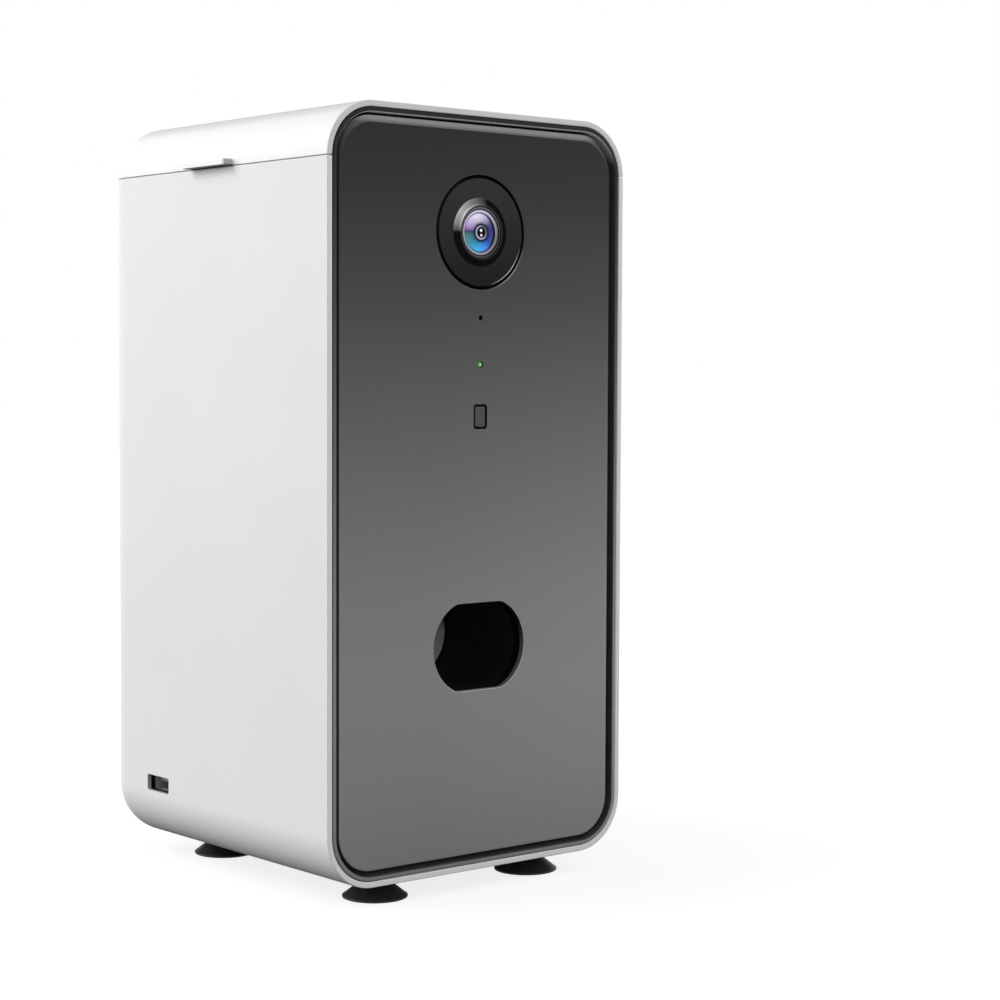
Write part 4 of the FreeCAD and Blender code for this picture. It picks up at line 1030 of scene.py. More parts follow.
def add_knuckle(bm, s, span, up):
    """A hinge barrel with its web, bored for the pin."""
    low = math.degrees(math.asin(s.seam / 2 / s.knuckle))
    left = s.hinge_x - s.knuckle
    outline = arc(s.hinge_x, s.seam_z, s.knuckle, 90 * up, -90 * up, 24)
    outline += arc(s.hinge_x, s.seam_z, s.knuckle, -90 * up, -(180 - low) * up, 20)[1:-1]
    outline += [(left, s.seam_z + up * s.seam / 2), (left, s.seam_z + up * s.knuckle)]
    start, end = span
    ease = 0.25
    kept = 1 - ease / s.knuckle
    small = [(s.hinge_x + (x - s.hinge_x) * kept, s.seam_z + (z - s.seam_z) * kept)
             for x, z in outline]
    rim = [at_depth(small, start), at_depth(outline, start + ease),
           at_depth(outline, end - ease), at_depth(small, end)]
    bore = circle_outline(s.hinge_x, s.seam_z, s.pin, 28)
    add_perforated_plate(bm, [(rim, None), ([at_depth(bore, start), at_depth(bore, end)], None)])


def add_notch(bm, s, span):
    """Room for one knuckle in the other half of the shell."""
    start, end = span[0] - s.knuckle_gap, span[1] + s.knuckle_gap
    radius = s.knuckle + s.knuckle_play
    add_turned(bm, [(0, start), (radius, start), (radius, end), (0, end)],
               (s.hinge_x, 0, s.seam_z), "Y", 48)


def add_finger_tab(bm, s):
    """A rounded tab that stands out of the lid's left wall."""
    low_x = -s.hinge_x - s.knuckle
    low_z = s.seam_z + s.seam / 2
    centre_y = middle("lid_magnet").y
    levels = [(0.12, 0.0), (0.0, 0.12)]
    levels += [(s.tab_round * (1 - cos(radians(a))),
                s.tab_height - s.tab_round * (1 - sin(radians(a)))) for a in range(0, 91, 15)]
    rings = []
    for inset, rise in levels:
        radius = max(s.tab_round - inset, 0.02)
        half = s.tab_length / 2 - inset
        left, right = low_x + inset, s.left + s.wall / 2
        outline = [(right, centre_y + half)]
        outline += arc(left + radius, centre_y + half - radius, radius, 90, 180, 6)
        outline += arc(left + radius, centre_y - half + radius, radius, 180, 270, 6)
        outline += [(right, centre_y - half)]
        rings.append([(x, y, low_z + rise) for x, y in outline])
    under = add_closed_loft(bm, rings)
    bmesh.ops.recalc_face_normals(bm, faces=bm.faces)
    # The tab's underside and front end take the third finish, painted shade.
    for face in bm.faces:
        on_tab = face.calc_center_median().x < s.left - 0.2
        if face == under or on_tab and (face.normal.z < -0.3 or face.normal.y < -0.8):
            face.material_index = 2


def slot_rings(spot, half_w, half_h, radius, levels, steps):
    """Rounded rings across X, from (x, growth) pairs."""
    rings = []
    for x, grow in levels:
        outline = rounded_outline(spot.y, spot.z, half_w + grow, half_h + grow, radius + grow,
                                  steps)
        rings.append([(x, y, z) for y, z in outline])
    return rings


def base_screw_seat(fittings):
    """Height of the face under the base screws' heads."""
    return extent("chassis_screws")[0].z + fittings.screw_rise * BASE_SCREW


def tub_cutters(s, fittings):
    """Everything that is cut from the tub: notch, slot, screw recesses and foot holes."""
    bm = bmesh.new()
    add_notch(bm, s, knuckle_spans(s)[0])
    low, high = extent("power_socket")
    half_w = (high.y - low.y) / 2 + fittings.slot_margin
    half_h = (high.z - low.z) / 2 - fittings.socket_metal + 0.125
    levels = [(s.left - 1, 0.75), (s.left, 0.2), (s.left + 0.08, 0.08), (s.left + 0.2, 0.0),
              (s.left + s.wall + 1, 0.0)]
    add_closed_loft(bm, slot_rings((low + high) / 2, half_w, half_h, fittings.slot_round,
                                   levels, 8))
    seat = base_screw_seat(fittings)
    end = seat + 12
    recess = fittings.screw_head * BASE_SCREW + 0.3
    hole = fittings.screw_shank * BASE_SCREW
    ease = 0.25
    for x, y in corner_spots("chassis_screws", fittings.screw_head * BASE_SCREW):
        add_turned(bm, [(0, 0), (recess + ease, 0), (recess + ease, s.bottom),
                        (recess, s.bottom + ease), (recess, seat), (hole, seat), (hole, end),
                        (0, end)], (x, y, 0), "Z", SMALL_TURN_STEPS)
    neck, over = fittings.foot_neck, s.bottom + 4
    for name in foot_nodes():
        spot = middle(name)
        add_turned(bm, [(0, 0), (neck, 0), (neck, over), (0, over)], (spot.x, spot.y, 0), "Z",
                   SMALL_TURN_STEPS)
    return to_object(bm, "tub_cutter")


def grille_cut(s, fittings):
    """The grille's cutter in its place in the back wall."""
    r = fittings.grille_hole
    hole = turned_object("grille_hole", [
        (0, -s.wall - 1), (r, -s.wall - 1), (r, -0.2), (r + 0.06, -0.06), (r + 0.2, 0.0),
        (r + 0.9, 0.6), (0, 0.6)], (0, 0, 0), "Z", 20)
    holes = linked("grille_holes", bpy.data.meshes.new("grille_holes"))
    run_tree(holes, grille_tree(), {"Solid": hole, "Pitch": fittings.grille_pitch,
                                    "Rings": int(fittings.grille_rings)})
    discard(hole)
    speaker = middle("speaker")
    lay_along_y(holes, (speaker.x, s.back, speaker.z))
    return holes


def make_tub(context):
    s, fittings = shell_sizes(context), settings(context.scene.petcam_fittings)
    tub = shell_cup(s, tub_path, s.rebate, "tub")
    carve(tub, tub_cutters(s, fittings))
    carve(tub, grille_cut(s, fittings))
    low, high = extent("power_socket")
    # The slot's walls take the third finish, painted shade.
    for face in tub.data.polygons:
        x, y, z = face.center
        if (s.left + 0.05 < x < s.left + s.wall and low.y - 0.6 < y < high.y + 0.6
                and low.z - 0.3 < z < high.z + 0.3):
            face.material_index = 2
    bm = bmesh.new()
    for span in knuckle_spans(s)[1]:
        add_knuckle(bm, s, span, -1)
    join_into(tub, bm)
    # Painted shade: the tub's white darker towards its bottom and its lower rounding.
    shade = [(0, 0.87), (2.4, 0.93), (6, 0.965), (90, 0.965), (150, 0.99), (190, 1.0)]
    white = finish(shell_white, "Shell White", s, s.tint, shade)
    # Painted shade in the socket's slot: dark at its outer edge, grey across the wall and black deep
    # inside.
    slot = finish(graded, "Slot Grey", 0.0, ("X", s.left, s.left + s.wall, [
        (0.0, 0.25), (0.12, 0.48), (0.5, 0.42), (0.62, 0.01)]), (0.45, 0.6))
    finish_piece(tub, "housing", [white, rim_finish(), slot], ["body_shell"])


def make_lid(context):
    s = shell_sizes(context)
    lid = shell_cup(s, lid_path, s.rebate + 0.3, "lid")
    span, body_spans = knuckle_spans(s)
    bm = bmesh.new()
    for body_span in body_spans:
        add_notch(bm, s, body_span)
    carve(lid, to_object(bm, "lid_cutter"))
    bm = bmesh.new()
    add_knuckle(bm, s, span, 1)
    add_finger_tab(bm, s)
    join_into(lid, bm)
    # Painted shade: the lid's white darker towards its top, its flat top included, and its front rim
    # painted a little darker.
    height = s.top - s.bottom
    shade = [(height - 5.6, 1.0), (height - 4.4, 0.96), (height - 3.3, 0.84),
             (height - 1.5, 0.7), (height, 0.5)]
    white = finish(shell_white, "Lid White", s, s.lid_tint, shade, rim_share=0.87, gloss=0.3)
    # Painted shade under the tab: near black at its underside, grey higher up.
    low = s.seam_z + s.seam / 2
    tab_shade = finish(graded, "Tab Grip", 0.2, ("Z", low, low + 1, [(0.15, 0.09), (0.4, 0.5)]),
                  (0.45, 0.6))
    finish_piece(lid, "lid", [white, rim_finish(), tab_shade], ["lid_shell"])


# ---- front ----
def key_outline(front, z, grow, radius):
    """The toss key's outline at a height, grown on every side."""
    return rounded_outline(0, z, front.key_width / 2 + grow, front.key_height / 2 + grow,
                           radius, 8)


def front_holes(front, y_front, y_back, small_round):
    """Lofts of the key, light and microphone holes, front to back."""
    key, light, mic = middle("button_key"), middle("light_pipe"), middle("microphone")
    light_radius = extent("light_pipe")[1].x + front.light_play
    shapes = [
        lambda e: key_outline(front, key.z, front.key_border + e,
                              front.key_round + front.key_border / 2 + e),
        lambda e: circle_outline(0, light.z, light_radius + e),
        lambda e: circle_outline(0, mic.z, front.microphone + e),
    ]
    # The hole's wall behind its rounding takes the second finish, the pocket's painted shade.
    steps = [(small_round, 0.0), (small_round * 0.3, small_round * 0.3), (0.0, small_round)]
    return [([at_depth(shape(grown), y_front + deep) for grown, deep in steps]
             + [at_depth(shape(0.0), y_back)], (0, 0, 1)) for shape in shapes]


def rounded_mouth(shape, rounding, y_front, y_back):
    """A hole's loft with a rounded mouth."""
    rings = []
    for i in range(MOUTH_STEPS + 1):
        a = pi / 2 * i / MOUTH_STEPS
        rings.append(at_depth(shape(rounding * (1 - sin(a))), y_front + rounding * (1 - cos(a))))
    return rings + [at_depth(shape(0.0), y_back)]


def groove_black(name, s, grey, light):
    """Dead matt black laid as painted shade on a groove's edges and walls, with painted light added by
    height, near the shell's top for the grooves.
    """
    f = Finish(name, specular_ior_level=0.0)
    dusty = f.shades(f.noise(8, 3.0), (grey,) * 3, 0.15)
    return f.done(f.plus(dusty, top_light(f, s, light)), (f.noise(3, 3.0), 0.5, 0.7),
                  (f.noise(0.5, 3.0), 0.01, 0.3))


def pocket_finish(s):
    """Painted shade: black for the walls of the gaps and holes between the front's pieces, a little lighter
    low down.
    """
    height = s.top - s.bottom
    return finish(groove_black, "Pocket Black", s, 0.009,
                  [(height, 0.05), (height - 10, 0.05), (height - 14, 0.0)])


def make_front_frame(context):
    s, front = shell_sizes(context), settings(context.scene.petcam_front)
    inset = extent("front_frame")[0].x - s.left
    pocket = inset + front.ring
    floor_y = extent("front_panel")[1].y
    back_y = s.front + s.rebate
    soft, eased = 0.25, front.hole_round
    rim = [(pocket, floor_y)] + arc(pocket - eased, s.front + eased, eased, 0, -90, 3)
    rim += arc(inset + soft, s.front + soft, soft, -90, -180, 3) + [(inset, back_y)]
    bore = extent("lens_ring")[1].x + front.camera_groove
    lens = circle_outline(0, middle("camera_ring").z, bore, 64)
    holes = [([at_depth(hole, y) for y in (floor_y, back_y)], (1,))
             for hole in (lens, outlet_outline(front, 0.0))]
    rings = [at_depth(front_outline(s, i), y) for i, y in rim]
    # The ring's inner wall and eased edge take the groove wall, painted shade with painted light near the
    # top; the holes' walls and the pocket's floor take the pocket's painted shade.
    bands = (2, 2, 2) + (0,) * (len(rim) - 4)
    bm = bmesh.new()
    add_perforated_plate(bm, [(rings, bands), *front_holes(front, floor_y, back_y, 0.05), *holes],
                         1)
    add_posts(bm, back_y)
    # The frame's graphite is a slightly darker copy of the panel's, with the same painted reflection.
    dark = finish(graphite, "Frame Graphite", front, s, strength=0.95)
    wall = finish(groove_black, "Groove Wall", s, 0.07, [(14, 0.0), (10, 0.4), (3.7, 0.9)])
    finish_piece(to_object(bm, "front_ring"), "housing",
                 [dark, pocket_finish(s), wall], ["front_frame"])


def add_posts(bm, back_y):
    """Screw posts behind the frame for the main board and the camera board."""
    bore, post, ease = 1.2, 2.6, 0.2
    start = back_y - 0.2
    for board, inset in (("main_board", 5.2), ("camera_board", 3.0)):
        low, high = extent(board)
        profile = [(bore, start), (post, start), (post, low.y - ease), (post - ease, low.y),
                   (bore, low.y)]
        for x in (low.x + inset, high.x - inset):
            for z in (low.z + inset, high.z - inset):
                add_turned(bm, profile, (x, 0, z), "Y", 24)


def make_front_panel(context):
    s, front = shell_sizes(context), settings(context.scene.petcam_front)
    low, high = extent("front_panel")
    inset = low.x - s.left - PANEL_SPREAD
    edge_radius = (front.panel_edge ** 2 + front.panel_drop ** 2) / (2 * front.panel_drop)
    sweep = math.degrees(math.asin(front.panel_edge / edge_radius))
    rim = arc(inset + front.panel_edge, low.y + edge_radius, edge_radius, -90, -90 - sweep, 10)
    rim += [(inset, high.y)]
    rim = rim[:-2] + softened(rim[-3:], 0.12, 2)[1:]
    rings = [at_depth(front_outline(s, i), y) for i, y in rim]
    camera = middle("camera_ring")
    hole = extent("camera_ring")[1].x + front.camera_groove
    # The camera opening's rounding takes the window edge's painted highlight and its wall the pocket's
    # painted shade; the outlet's rounding takes the mouth edge and its wall the mouth wall.
    mouths = [(rounded_mouth(shape, front.hole_round, low.y, high.y), bands) for shape, bands in (
        (lambda e: circle_outline(0, camera.z, hole + e, TURN_STEPS), (0, 6, 6, 6, 1, 1)),
        (lambda e: outlet_outline(front, e), (0, 2, 2, 3, 3, 3)))]
    # The panel's soft edge takes painted light near the top, its outer part the groove edge's painted
    # shade, and its side wall the pocket's painted shade.
    bands = (4,) * 6 + (5,) * (len(rings) - 8) + (1,)
    bm = bmesh.new()
    add_perforated_plate(bm, [(rings, bands), *mouths, *front_holes(front, low.y, high.y, 0.12)])
    # Painted highlight along the top of the panel's edge, from (millimetres below the shell's top, grey)
    # pairs.
    light = [(17, 0.0), (12, 0.02), (8, 0.07), (7, 0.09), (5.9, 0.26), (4.5, 0.5)]
    outlet_z = middle("plunger_pad").z
    finish_piece(to_object(bm, "face_panel"), "housing", [
        finish(graphite, "Panel Graphite", front, s),
        pocket_finish(s),
        # Mouth edge: a lighter copy of the graphite, a painted highlight round the outlet.
        finish(graphite, "Mouth Edge", front, s, strength=1.8, roughness=0.25),
        # Mouth wall: painted light low on the outlet's wall, painted shade high on it.
        finish(graded, "Mouth Wall", 0.1, ("Z", outlet_z - 14, outlet_z + 14, [
            (0.0, 0.2), (0.5, 0.17), (0.75, 0.01)]), (0.4, 0.55), depth=0.015),
        # Panel edge: a slightly lighter copy of the graphite with a painted highlight near the top.
        finish(graphite, "Panel Edge", front, s, strength=1.06,
               light=lambda f: top_light(f, s, light)),
        # Groove edge: painted shade, near black, with the same painted highlight near the top.
        finish(groove_black, "Groove Edge", s, 0.02, light),
        # Window edge: graphite with a painted highlight low on the right of the camera opening's rounding.
        finish(graphite, "Window Edge", front, s, light=lambda f: f.times(
            lower_right(f, round_place(f, camera)[0]), (0.45,) * 3)),
    ], ["front_panel"])


def make_camera_window(context):
    camera = settings(context.scene.petcam_camera)
    centre = middle("camera_ring")
    spot = (0, 0, centre.z)
    high = extent("camera_ring")[1]
    ring_low, ring_high = extent("lens_ring")
    face = extent("front_panel")[0].y
    outer, bore = high.x, ring_high.x + 0.05
    front = face - camera.cone_rise
    edge = 0.22
    dish = turned_object("camera_dish", [
        (bore, high.y), (outer, high.y), (outer, face + edge),
        (outer - edge * 0.3, face + edge * 0.3), (outer - edge, face + 0.02),
        (camera.cone, face + camera.dish), (camera.cone_top + 0.12, front + 0.05),
        (camera.cone_top - 0.1, front), (bore, front)],
        spot, "Y", WINDOW_STEPS, [0, 0, 0, 0, 0, 1, 1, 0, 0])
    finish_piece(dish, "housing", [
        finish(dish_black, "Dish Black", centre), finish(cone_grey, "Cone Satin", centre)],
        ["camera_ring"])
    low, high = extent("lens_glass")
    inner, outer = high.x + 0.05, ring_high.x
    slope = [(inner, ring_high.y), (outer, ring_high.y), (outer, ring_low.y),
             (inner, ring_low.y + camera.lip)]
    bezel = turned_object("lens_bezel", softened(slope, 0.16, 3, closed=True), spot, "Y",
                          WINDOW_STEPS)
    finish_piece(bezel, "housing", [
        finish(lens_metal, "Lens Ring Metal", centre)], ["lens_ring"])
    radius = high.x
    ball = (radius ** 2 + camera.crown ** 2) / (2 * camera.crown)
    turns = [math.asin(radius / ball) * i / 20 for i in range(21)]
    dome = [(ball * sin(a), low.y + ball * (1 - cos(a))) for a in turns]
    glass = turned_object("lens_dome", dome + [(0, high.y)], spot, "Y", WINDOW_STEPS)
    finish_piece(glass, "housing", [
        finish(lens_coating, "Lens Coating", camera, centre)], ["lens_glass"])


def make_status_light(context):
    front = settings(context.scene.petcam_front)
    low, high = extent("light_pipe")
    radius, centre = high.x, middle("light_pipe")
    light = turned_object("status_light", [
        (0, low.y), (radius * 0.45, low.y + 0.03), (radius * 0.8, low.y + 0.12),
        (radius, low.y + 0.3), (radius, high.y), (0, high.y)], (0, 0, centre.z), "Y", 32)
    finish_piece(light, "housing", [
        finish(lamp_green, "Status Green", front.light_tint, centre)], ["light_pipe"])


def make_toss_key(context):
    s, front = shell_sizes(context), settings(context.scene.petcam_front)
    low, high = extent("button_key")
    collar = (high.x - low.x) / 2 - front.key_width / 2
    soft = front.key_round / 2
    levels = [(-soft * (1 - sin(a)), low.y + soft * (1 - cos(a)))
              for a in (pi / 8 * i for i in range(5))]
    levels += [(0, high.y - 1.0), (collar, high.y - 1.0), (collar, high.y)]
    rings = [at_depth(key_outline(front, (low.z + high.z) / 2, grow,
                                  max(front.key_round + grow / 2, 0.1)), y) for grow, y in levels]
    # The key's front rounding takes the key edge, painted shade at the left and painted light at the right;
    # its side wall takes the pocket's painted shade.
    key = loft_object("toss_key", rings, (1, 1, 1, 1, 2, 0, 0))
    tone = finish(moulded, "Key Grey", (0.078, 0.0785, 0.08), roughness=0.35, specular=0.3)
    half = front.key_width / 2
    edge = finish(graded, "Key Edge", 0.1, ("X", -half, half, [
        (0.0, 0.012), (0.15, 0.04), (0.5, 0.07), (0.9, 0.1), (1.0, 0.16)]), (0.3, 0.42),
        size=2, grain=0.4, depth=0.01, strength=0.3)
    finish_piece(key, "toss_button", [tone, edge, pocket_finish(s)],
                 ["button_key"])


# ---- launcher, socket, feet and small fittings ----
def make_launcher(context):
    front = settings(context.scene.petcam_front)
    low, high = extent("plunger_pad")
    pad = loft_object("pusher_pad", rounded_mouth(lambda e: outlet_outline(front, -e), 0.35,
                                                  low.y, high.y))
    grey = finish(pad_grey, "Pad Grey", front.pad_tint, low.z + PAD_LIGHT)
    finish_piece(pad, "launcher", [grey], ["plunger_pad"])


def make_spring(context):
    fittings = settings(context.scene.petcam_fittings)
    low, high = extent("launch_spring")
    wire, centre = fittings.spring_wire, middle("launch_spring")
    span = high.y - low.y - 2 * wire
    steel = finish(machined, "Spring Steel", (0.62, 0.62, 0.64), roughness=0.25)
    spring = linked("coil_spring", bpy.data.meshes.new("coil_spring"))
    run_tree(spring, spring_tree(), {
        "Turns": float(fittings.spring_turns), "Radius": high.x - wire, "Length": span,
        "Wire": wire, "Material": steel})
    lay_along_y(spring, (0, low.y + wire, centre.z))
    finish_piece(spring, "housing", [steel], ["launch_spring"])
    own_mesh(spring)


def sleeve_metal(name, low):
    """Bright drawn metal inside the sleeve, with painted shade making it near black at its mouth."""
    f = Finish(name, metallic=0.4, specular_ior_level=0.2)
    drawn = f.noise(0.15, 3.0, (30, 1, 1))
    # Painted shade: near black at the sleeve's mouth.
    deep = f.along("X", low.x, low.x + 1, [(0.3, 0.01), (0.6, 0.6)])
    return f.done(f.times(deep, f.ramp(drawn, [(0.3, 0.85), (0.7, 1.0)])), (drawn, 0.3, 0.45),
                  (drawn, 0.004, 0.2))


def make_socket(context):
    fittings = settings(context.scene.petcam_fittings)
    low, high = extent("power_socket")
    metal = fittings.socket_metal
    levels = [(high.x, -0.1), (high.x - 0.1, 0.0), (low.x + 0.1, 0.0), (low.x, -0.1),
              (low.x, 0.1 - metal), (low.x + 0.15, -metal), (high.x - metal, -metal)]
    sleeve = loft_object("socket_sleeve", slot_rings(
        (low + high) / 2, (high.y - low.y) / 2, (high.z - low.z) / 2, 0.6, levels, 6))
    finish_piece(sleeve, "housing", [
        finish(sleeve_metal, "Socket Metal", low)], ["power_socket"])
    low, high = extent("socket_tongue")
    bm = bmesh.new()
    add_box(bm, low, high)
    tongue = soften_edges(to_object(bm, "tongue"), 0.25)
    bm = bmesh.new()
    contacts, first, last = 4, 0.16, 0.84
    for index in range(contacts):
        share = first + (last - first) * index / (contacts - 1)
        across = low.y + (high.y - low.y) * share
        add_box(bm, (low.x + 1.2, across - 0.5, low.z - 0.06), (high.x, across + 0.5, low.z + 0.3))
    for face in bm.faces:
        face.material_index = 1
    join_into(tongue, bm)
    finish_piece(tongue, "housing", [
        finish(moulded, "Tongue Grey", (0.42, 0.42, 0.425), roughness=0.4),
        finish(machined, "Contact Gold", (0.80, 0.62, 0.30), roughness=0.25)], ["socket_tongue"])


def foot_profile(s, fittings, low, high):
    """(radius, height) of a suction cup, from its hollow round the lip and up to the stud."""
    rim = (high.x - low.x) / 2
    floor_z = s.bottom + s.wall
    neck, shoulder = fittings.foot_neck, fittings.foot_shoulder
    under = [(0, 2.2), (2.5, 2.2), (shoulder, 2.1), (7.4, 1.3), (rim - 1.7, 0.42),
             (rim - 1.2, 0.0), (rim - 0.3, 0.0)]
    lip = [(rim - 0.08, 0.1), (rim, 0.3), (rim, 0.5), (rim - 0.08, 0.7), (rim - 0.3, 0.85)]
    flank = [(rim - 0.7, 1.1), (shoulder + 0.5, 5.05), (shoulder + 0.1, 5.36),
             (shoulder - 0.2, 5.5)]
    stud = [(neck, 5.55), (neck, floor_z), (5.4, floor_z), (5.2, floor_z + 0.35),
            (neck, high.z - 0.1), (neck - 0.3, high.z), (0, high.z)]
    return under + lip + flank + stud


def make_feet(context):
    s, fittings = shell_sizes(context), settings(context.scene.petcam_fittings)
    black = finish(rubber, "Foot Rubber", (0.013, 0.013, 0.014))
    for name in foot_nodes():
        spot = middle(name)
        cup = turned_object(name.replace("foot", "cup"), foot_profile(s, fittings, *extent(name)),
                            (spot.x, spot.y, 0), "Z", 72)
        finish_piece(cup, "housing", [black], [name])


def screw_solid(fittings):
    """A pan head screw along Z, its head's underside at the origin and its shank going up."""
    head, rise, shank = fittings.screw_head, fittings.screw_rise, fittings.screw_shank
    solid = turned_object("screw_solid", [
        (0, -rise), (head * 0.55, -rise), (head * 0.85, -rise * 0.86),
        (head * 0.97, -rise * 0.55), (head, -0.25), (head - 0.1, 0), (shank, 0),
        (shank, SHANK - 0.4), (shank * 0.6, SHANK), (0, SHANK)], (0, 0, 0), "Z", 32)
    reach, half = head * 0.6, fittings.cross / 2
    arm = [(reach, -half), (reach, half), (half, half)]
    cross = (arm + [(-y, x) for x, y in arm] + [(-x, -y) for x, y in arm]
             + [(y, -x) for x, y in arm])
    rings = [[(x, y, z) for x, y in cross] for z in (-rise - 1, -rise + 0.7)]
    return carve(solid, loft_object("cross_cutter", rings))


def scatter(name, spots, z, size, tree, solid, material):
    """A solid copied to spots at a height, stretched to a size."""
    mesh = bpy.data.meshes.new(name)
    mesh.from_pydata([(x, y, z) for x, y in spots], [], [])
    for item in mesh.attributes.new("size", "FLOAT_VECTOR", "POINT").data:
        item.vector = size
    return run_tree(linked(name, mesh), tree, {"Solid": solid, "Material": material})


def make_screws(context):
    fittings = settings(context.scene.petcam_fittings)
    steel = finish(machined, "Screw Steel", (0.55, 0.55, 0.57), roughness=0.3)
    solid, tree = screw_solid(fittings), copies_tree()
    head = fittings.screw_head
    seat = base_screw_seat(fittings)
    stretch = (extent("chassis_screws")[1].z - seat) / SHANK
    base = scatter("base_screws", corner_spots("chassis_screws", head * BASE_SCREW), seat,
                   (BASE_SCREW, BASE_SCREW, stretch), tree, solid, steel)
    for v in base.data.vertices:
        if v.co.z < seat - 0.01:
            v.co.z = seat + (v.co.z - seat) / stretch * BASE_SCREW
    finish_piece(base, "housing", [steel], ["chassis_screws"])
    upper = scatter("liner_fixings", corner_spots("liner_screws", head),
                    extent("lid_liner")[0].z, (1, 1, 1), tree, solid, steel)
    finish_piece(upper, "lid", [steel], ["liner_screws"])
    discard(solid)


# The solids that stay, with the maker, the name and the values of their finish.
WORKS = (
    ("catch_magnet lid_magnet", machined, "Magnet Nickel", (0.3, 0.295, 0.28), 0.3),
    ("hinge_pin board_screws deck_screws wheel_axle feed_shaft winding_shaft",
     machined, "Bright Steel", (0.56, 0.56, 0.58)),
    ("radio_shield microphone winding_motor feed_motor",
     machined, "Tinned Can", (0.60, 0.61, 0.62), 0.34),
    ("shaft_bushes", machined, "Sintered Bronze", (0.55, 0.36, 0.16), 0.45),
    ("camera_module switch_body switch_plunger", moulded, "Inner Black", (0.02, 0.02, 0.021)),
    ("camera_board main_board power_board", printed_board, "Circuit Board"),
    ("camera_ribbon", flexible_film, "Ribbon Film"),
    ("mic_boot", rubber, "Boot Rubber", (0.015, 0.015, 0.016)),
    ("lid_gasket", rubber, "Gasket Rubber", (0.045, 0.046, 0.05), 0.6),
    ("launch_barrel barrel_cap launch_plunger",
     moulded, "Tunnel Black", (0.006, 0.006, 0.0065), 0.6, 0.03, 0.25),
    ("chassis feed_deck drop_chute throat_wiper lid_liner",
     moulded, "Inner Grey", (0.50, 0.51, 0.53), 0.5),
    ("treat_bin", moulded, "Bin White", (0.74, 0.745, 0.75), 0.36, 0.02),
    ("dosing_wheel agitator feed_pinion winding_gear",
     moulded, "Gear Nylon", (0.80, 0.775, 0.70), 0.45),
    ("speaker", speaker_paper, "Speaker Cone"),
)


def dress_works(context):
    """Gives every solid that stays its own finish."""
    for names, *made in WORKS:
        material = finish(*made)
        for name in names.split():
            obj = frame["nodes"][name]
            if not obj.material_slots:
                obj.data.materials.append(material)
            for held in obj.material_slots:
                held.material = material


# ---- stage ----
def seen_rays(tree):
    """1 for rays that show the background: camera, glossy and transmission."""
    path = node(tree, "ShaderNodeLightPath")
    seen = math_node(tree, "MAXIMUM", path.outputs["Is Camera Ray"], path.outputs["Is Glossy Ray"])
    return math_node(tree, "MAXIMUM", seen, path.outputs["Is Transmission Ray"])


def end_backdrop(tree, kind, plain, seen):
    """Ends a tree with one shader, and another for the rays that show the background."""
    mixed = node(tree, "ShaderNodeMixShader", {
        0: seen_rays(tree), 1: plain.outputs[0], 2: seen.outputs[0]})
    node(tree, kind, {"Surface": mixed.outputs[0]})


def make_floor():
    bm = bmesh.new()
    half = 6
    corners = ((-half, -half, 0), (half, -half, 0), (half, half, 0), (-half, half, 0))
    bm.faces.new([bm.verts.new(p) for p in corners])
    floor = to_object(bm, "floor", outwards=False)
    material = bpy.data.materials.new("Floor Pale")
    material.use_nodes = True
    tree = material.node_tree
    tree.nodes.clear()
    pale = node(tree, "ShaderNodeBsdfDiffuse", {"Color": (0.3, 0.3, 0.3, 1)})
    place = node(tree, "ShaderNodeTexCoord").outputs["Object"]
    away = node(tree, "ShaderNodeVectorMath", {0: place}, operation="LENGTH").outputs["Value"]
    level = node(tree, "ShaderNodeMapRange", {
        "Value": away, "From Min": 0.12, "From Max": 0.4, "To Min": 0.82,
        "To Max": 1.0}).outputs["Result"]
    glow = node(tree, "ShaderNodeEmission", {"Color": (1, 1, 1, 1), "Strength": level})
    both = node(tree, "ShaderNodeAddShader", {0: pale.outputs[0], 1: glow.outputs[0]})
    dull = node(tree, "ShaderNodeBsdfDiffuse", {"Color": (0.12, 0.12, 0.12, 1)})
    end_backdrop(tree, "ShaderNodeOutputMaterial", dull, both)
    floor.data.materials.append(material)


def make_world(ambient):
    world = bpy.data.worlds.new("Studio")
    world.use_nodes = True
    tree = world.node_tree
    tree.nodes.clear()
    dim = node(tree, "ShaderNodeBackground", {
        "Color": (0.97, 0.985, 1.0, 1), "Strength": ambient})
    white = node(tree, "ShaderNodeBackground", {"Color": (1, 1, 1, 1), "Strength": 1.0})
    end_backdrop(tree, "ShaderNodeOutputWorld", dim, white)
    bpy.context.scene.world = world


def add_lamp(name, towards, distance, size, power, glossy=False):
    """A square softbox at a distance from the object, facing its middle."""
    data = bpy.data.lights.new(name, "AREA")
    data.size = size
    data.energy = power
    lamp = linked(name, data)
    lamp.visible_glossy = glossy
    way = Vector(towards).normalized()
    lamp.location = way * distance + Vector((0, 0, MIDDLE_HEIGHT))
    lamp.rotation_mode = "QUATERNION"
    lamp.rotation_quaternion = (-way).to_track_quat("-Z", "Y")


def add_camera(lens):
    """The camera at the front left, a little above the middle of the object."""
    data = bpy.data.cameras.new("View")
    data.lens = lens
    data.sensor_width = 36.0
    cam = linked("View", data)
    heading, dip, roll = radians(40.253), radians(3.227), 0.0043
    ahead = Vector((sin(heading) * cos(dip), cos(heading) * cos(dip), -sin(dip)))
    right = Vector((cos(heading), -sin(heading), 0.0))
    up = right.cross(ahead)
    right, up = cos(roll) * right + sin(roll) * up, -sin(roll) * right + cos(roll) * up
    turn = Matrix((right, up, -ahead)).transposed().to_4x4()
    place = (-0.47643, -0.63979, 0.17139)
    cam.matrix_world = Matrix.Translation(place) @ turn
    bpy.context.scene.camera = cam


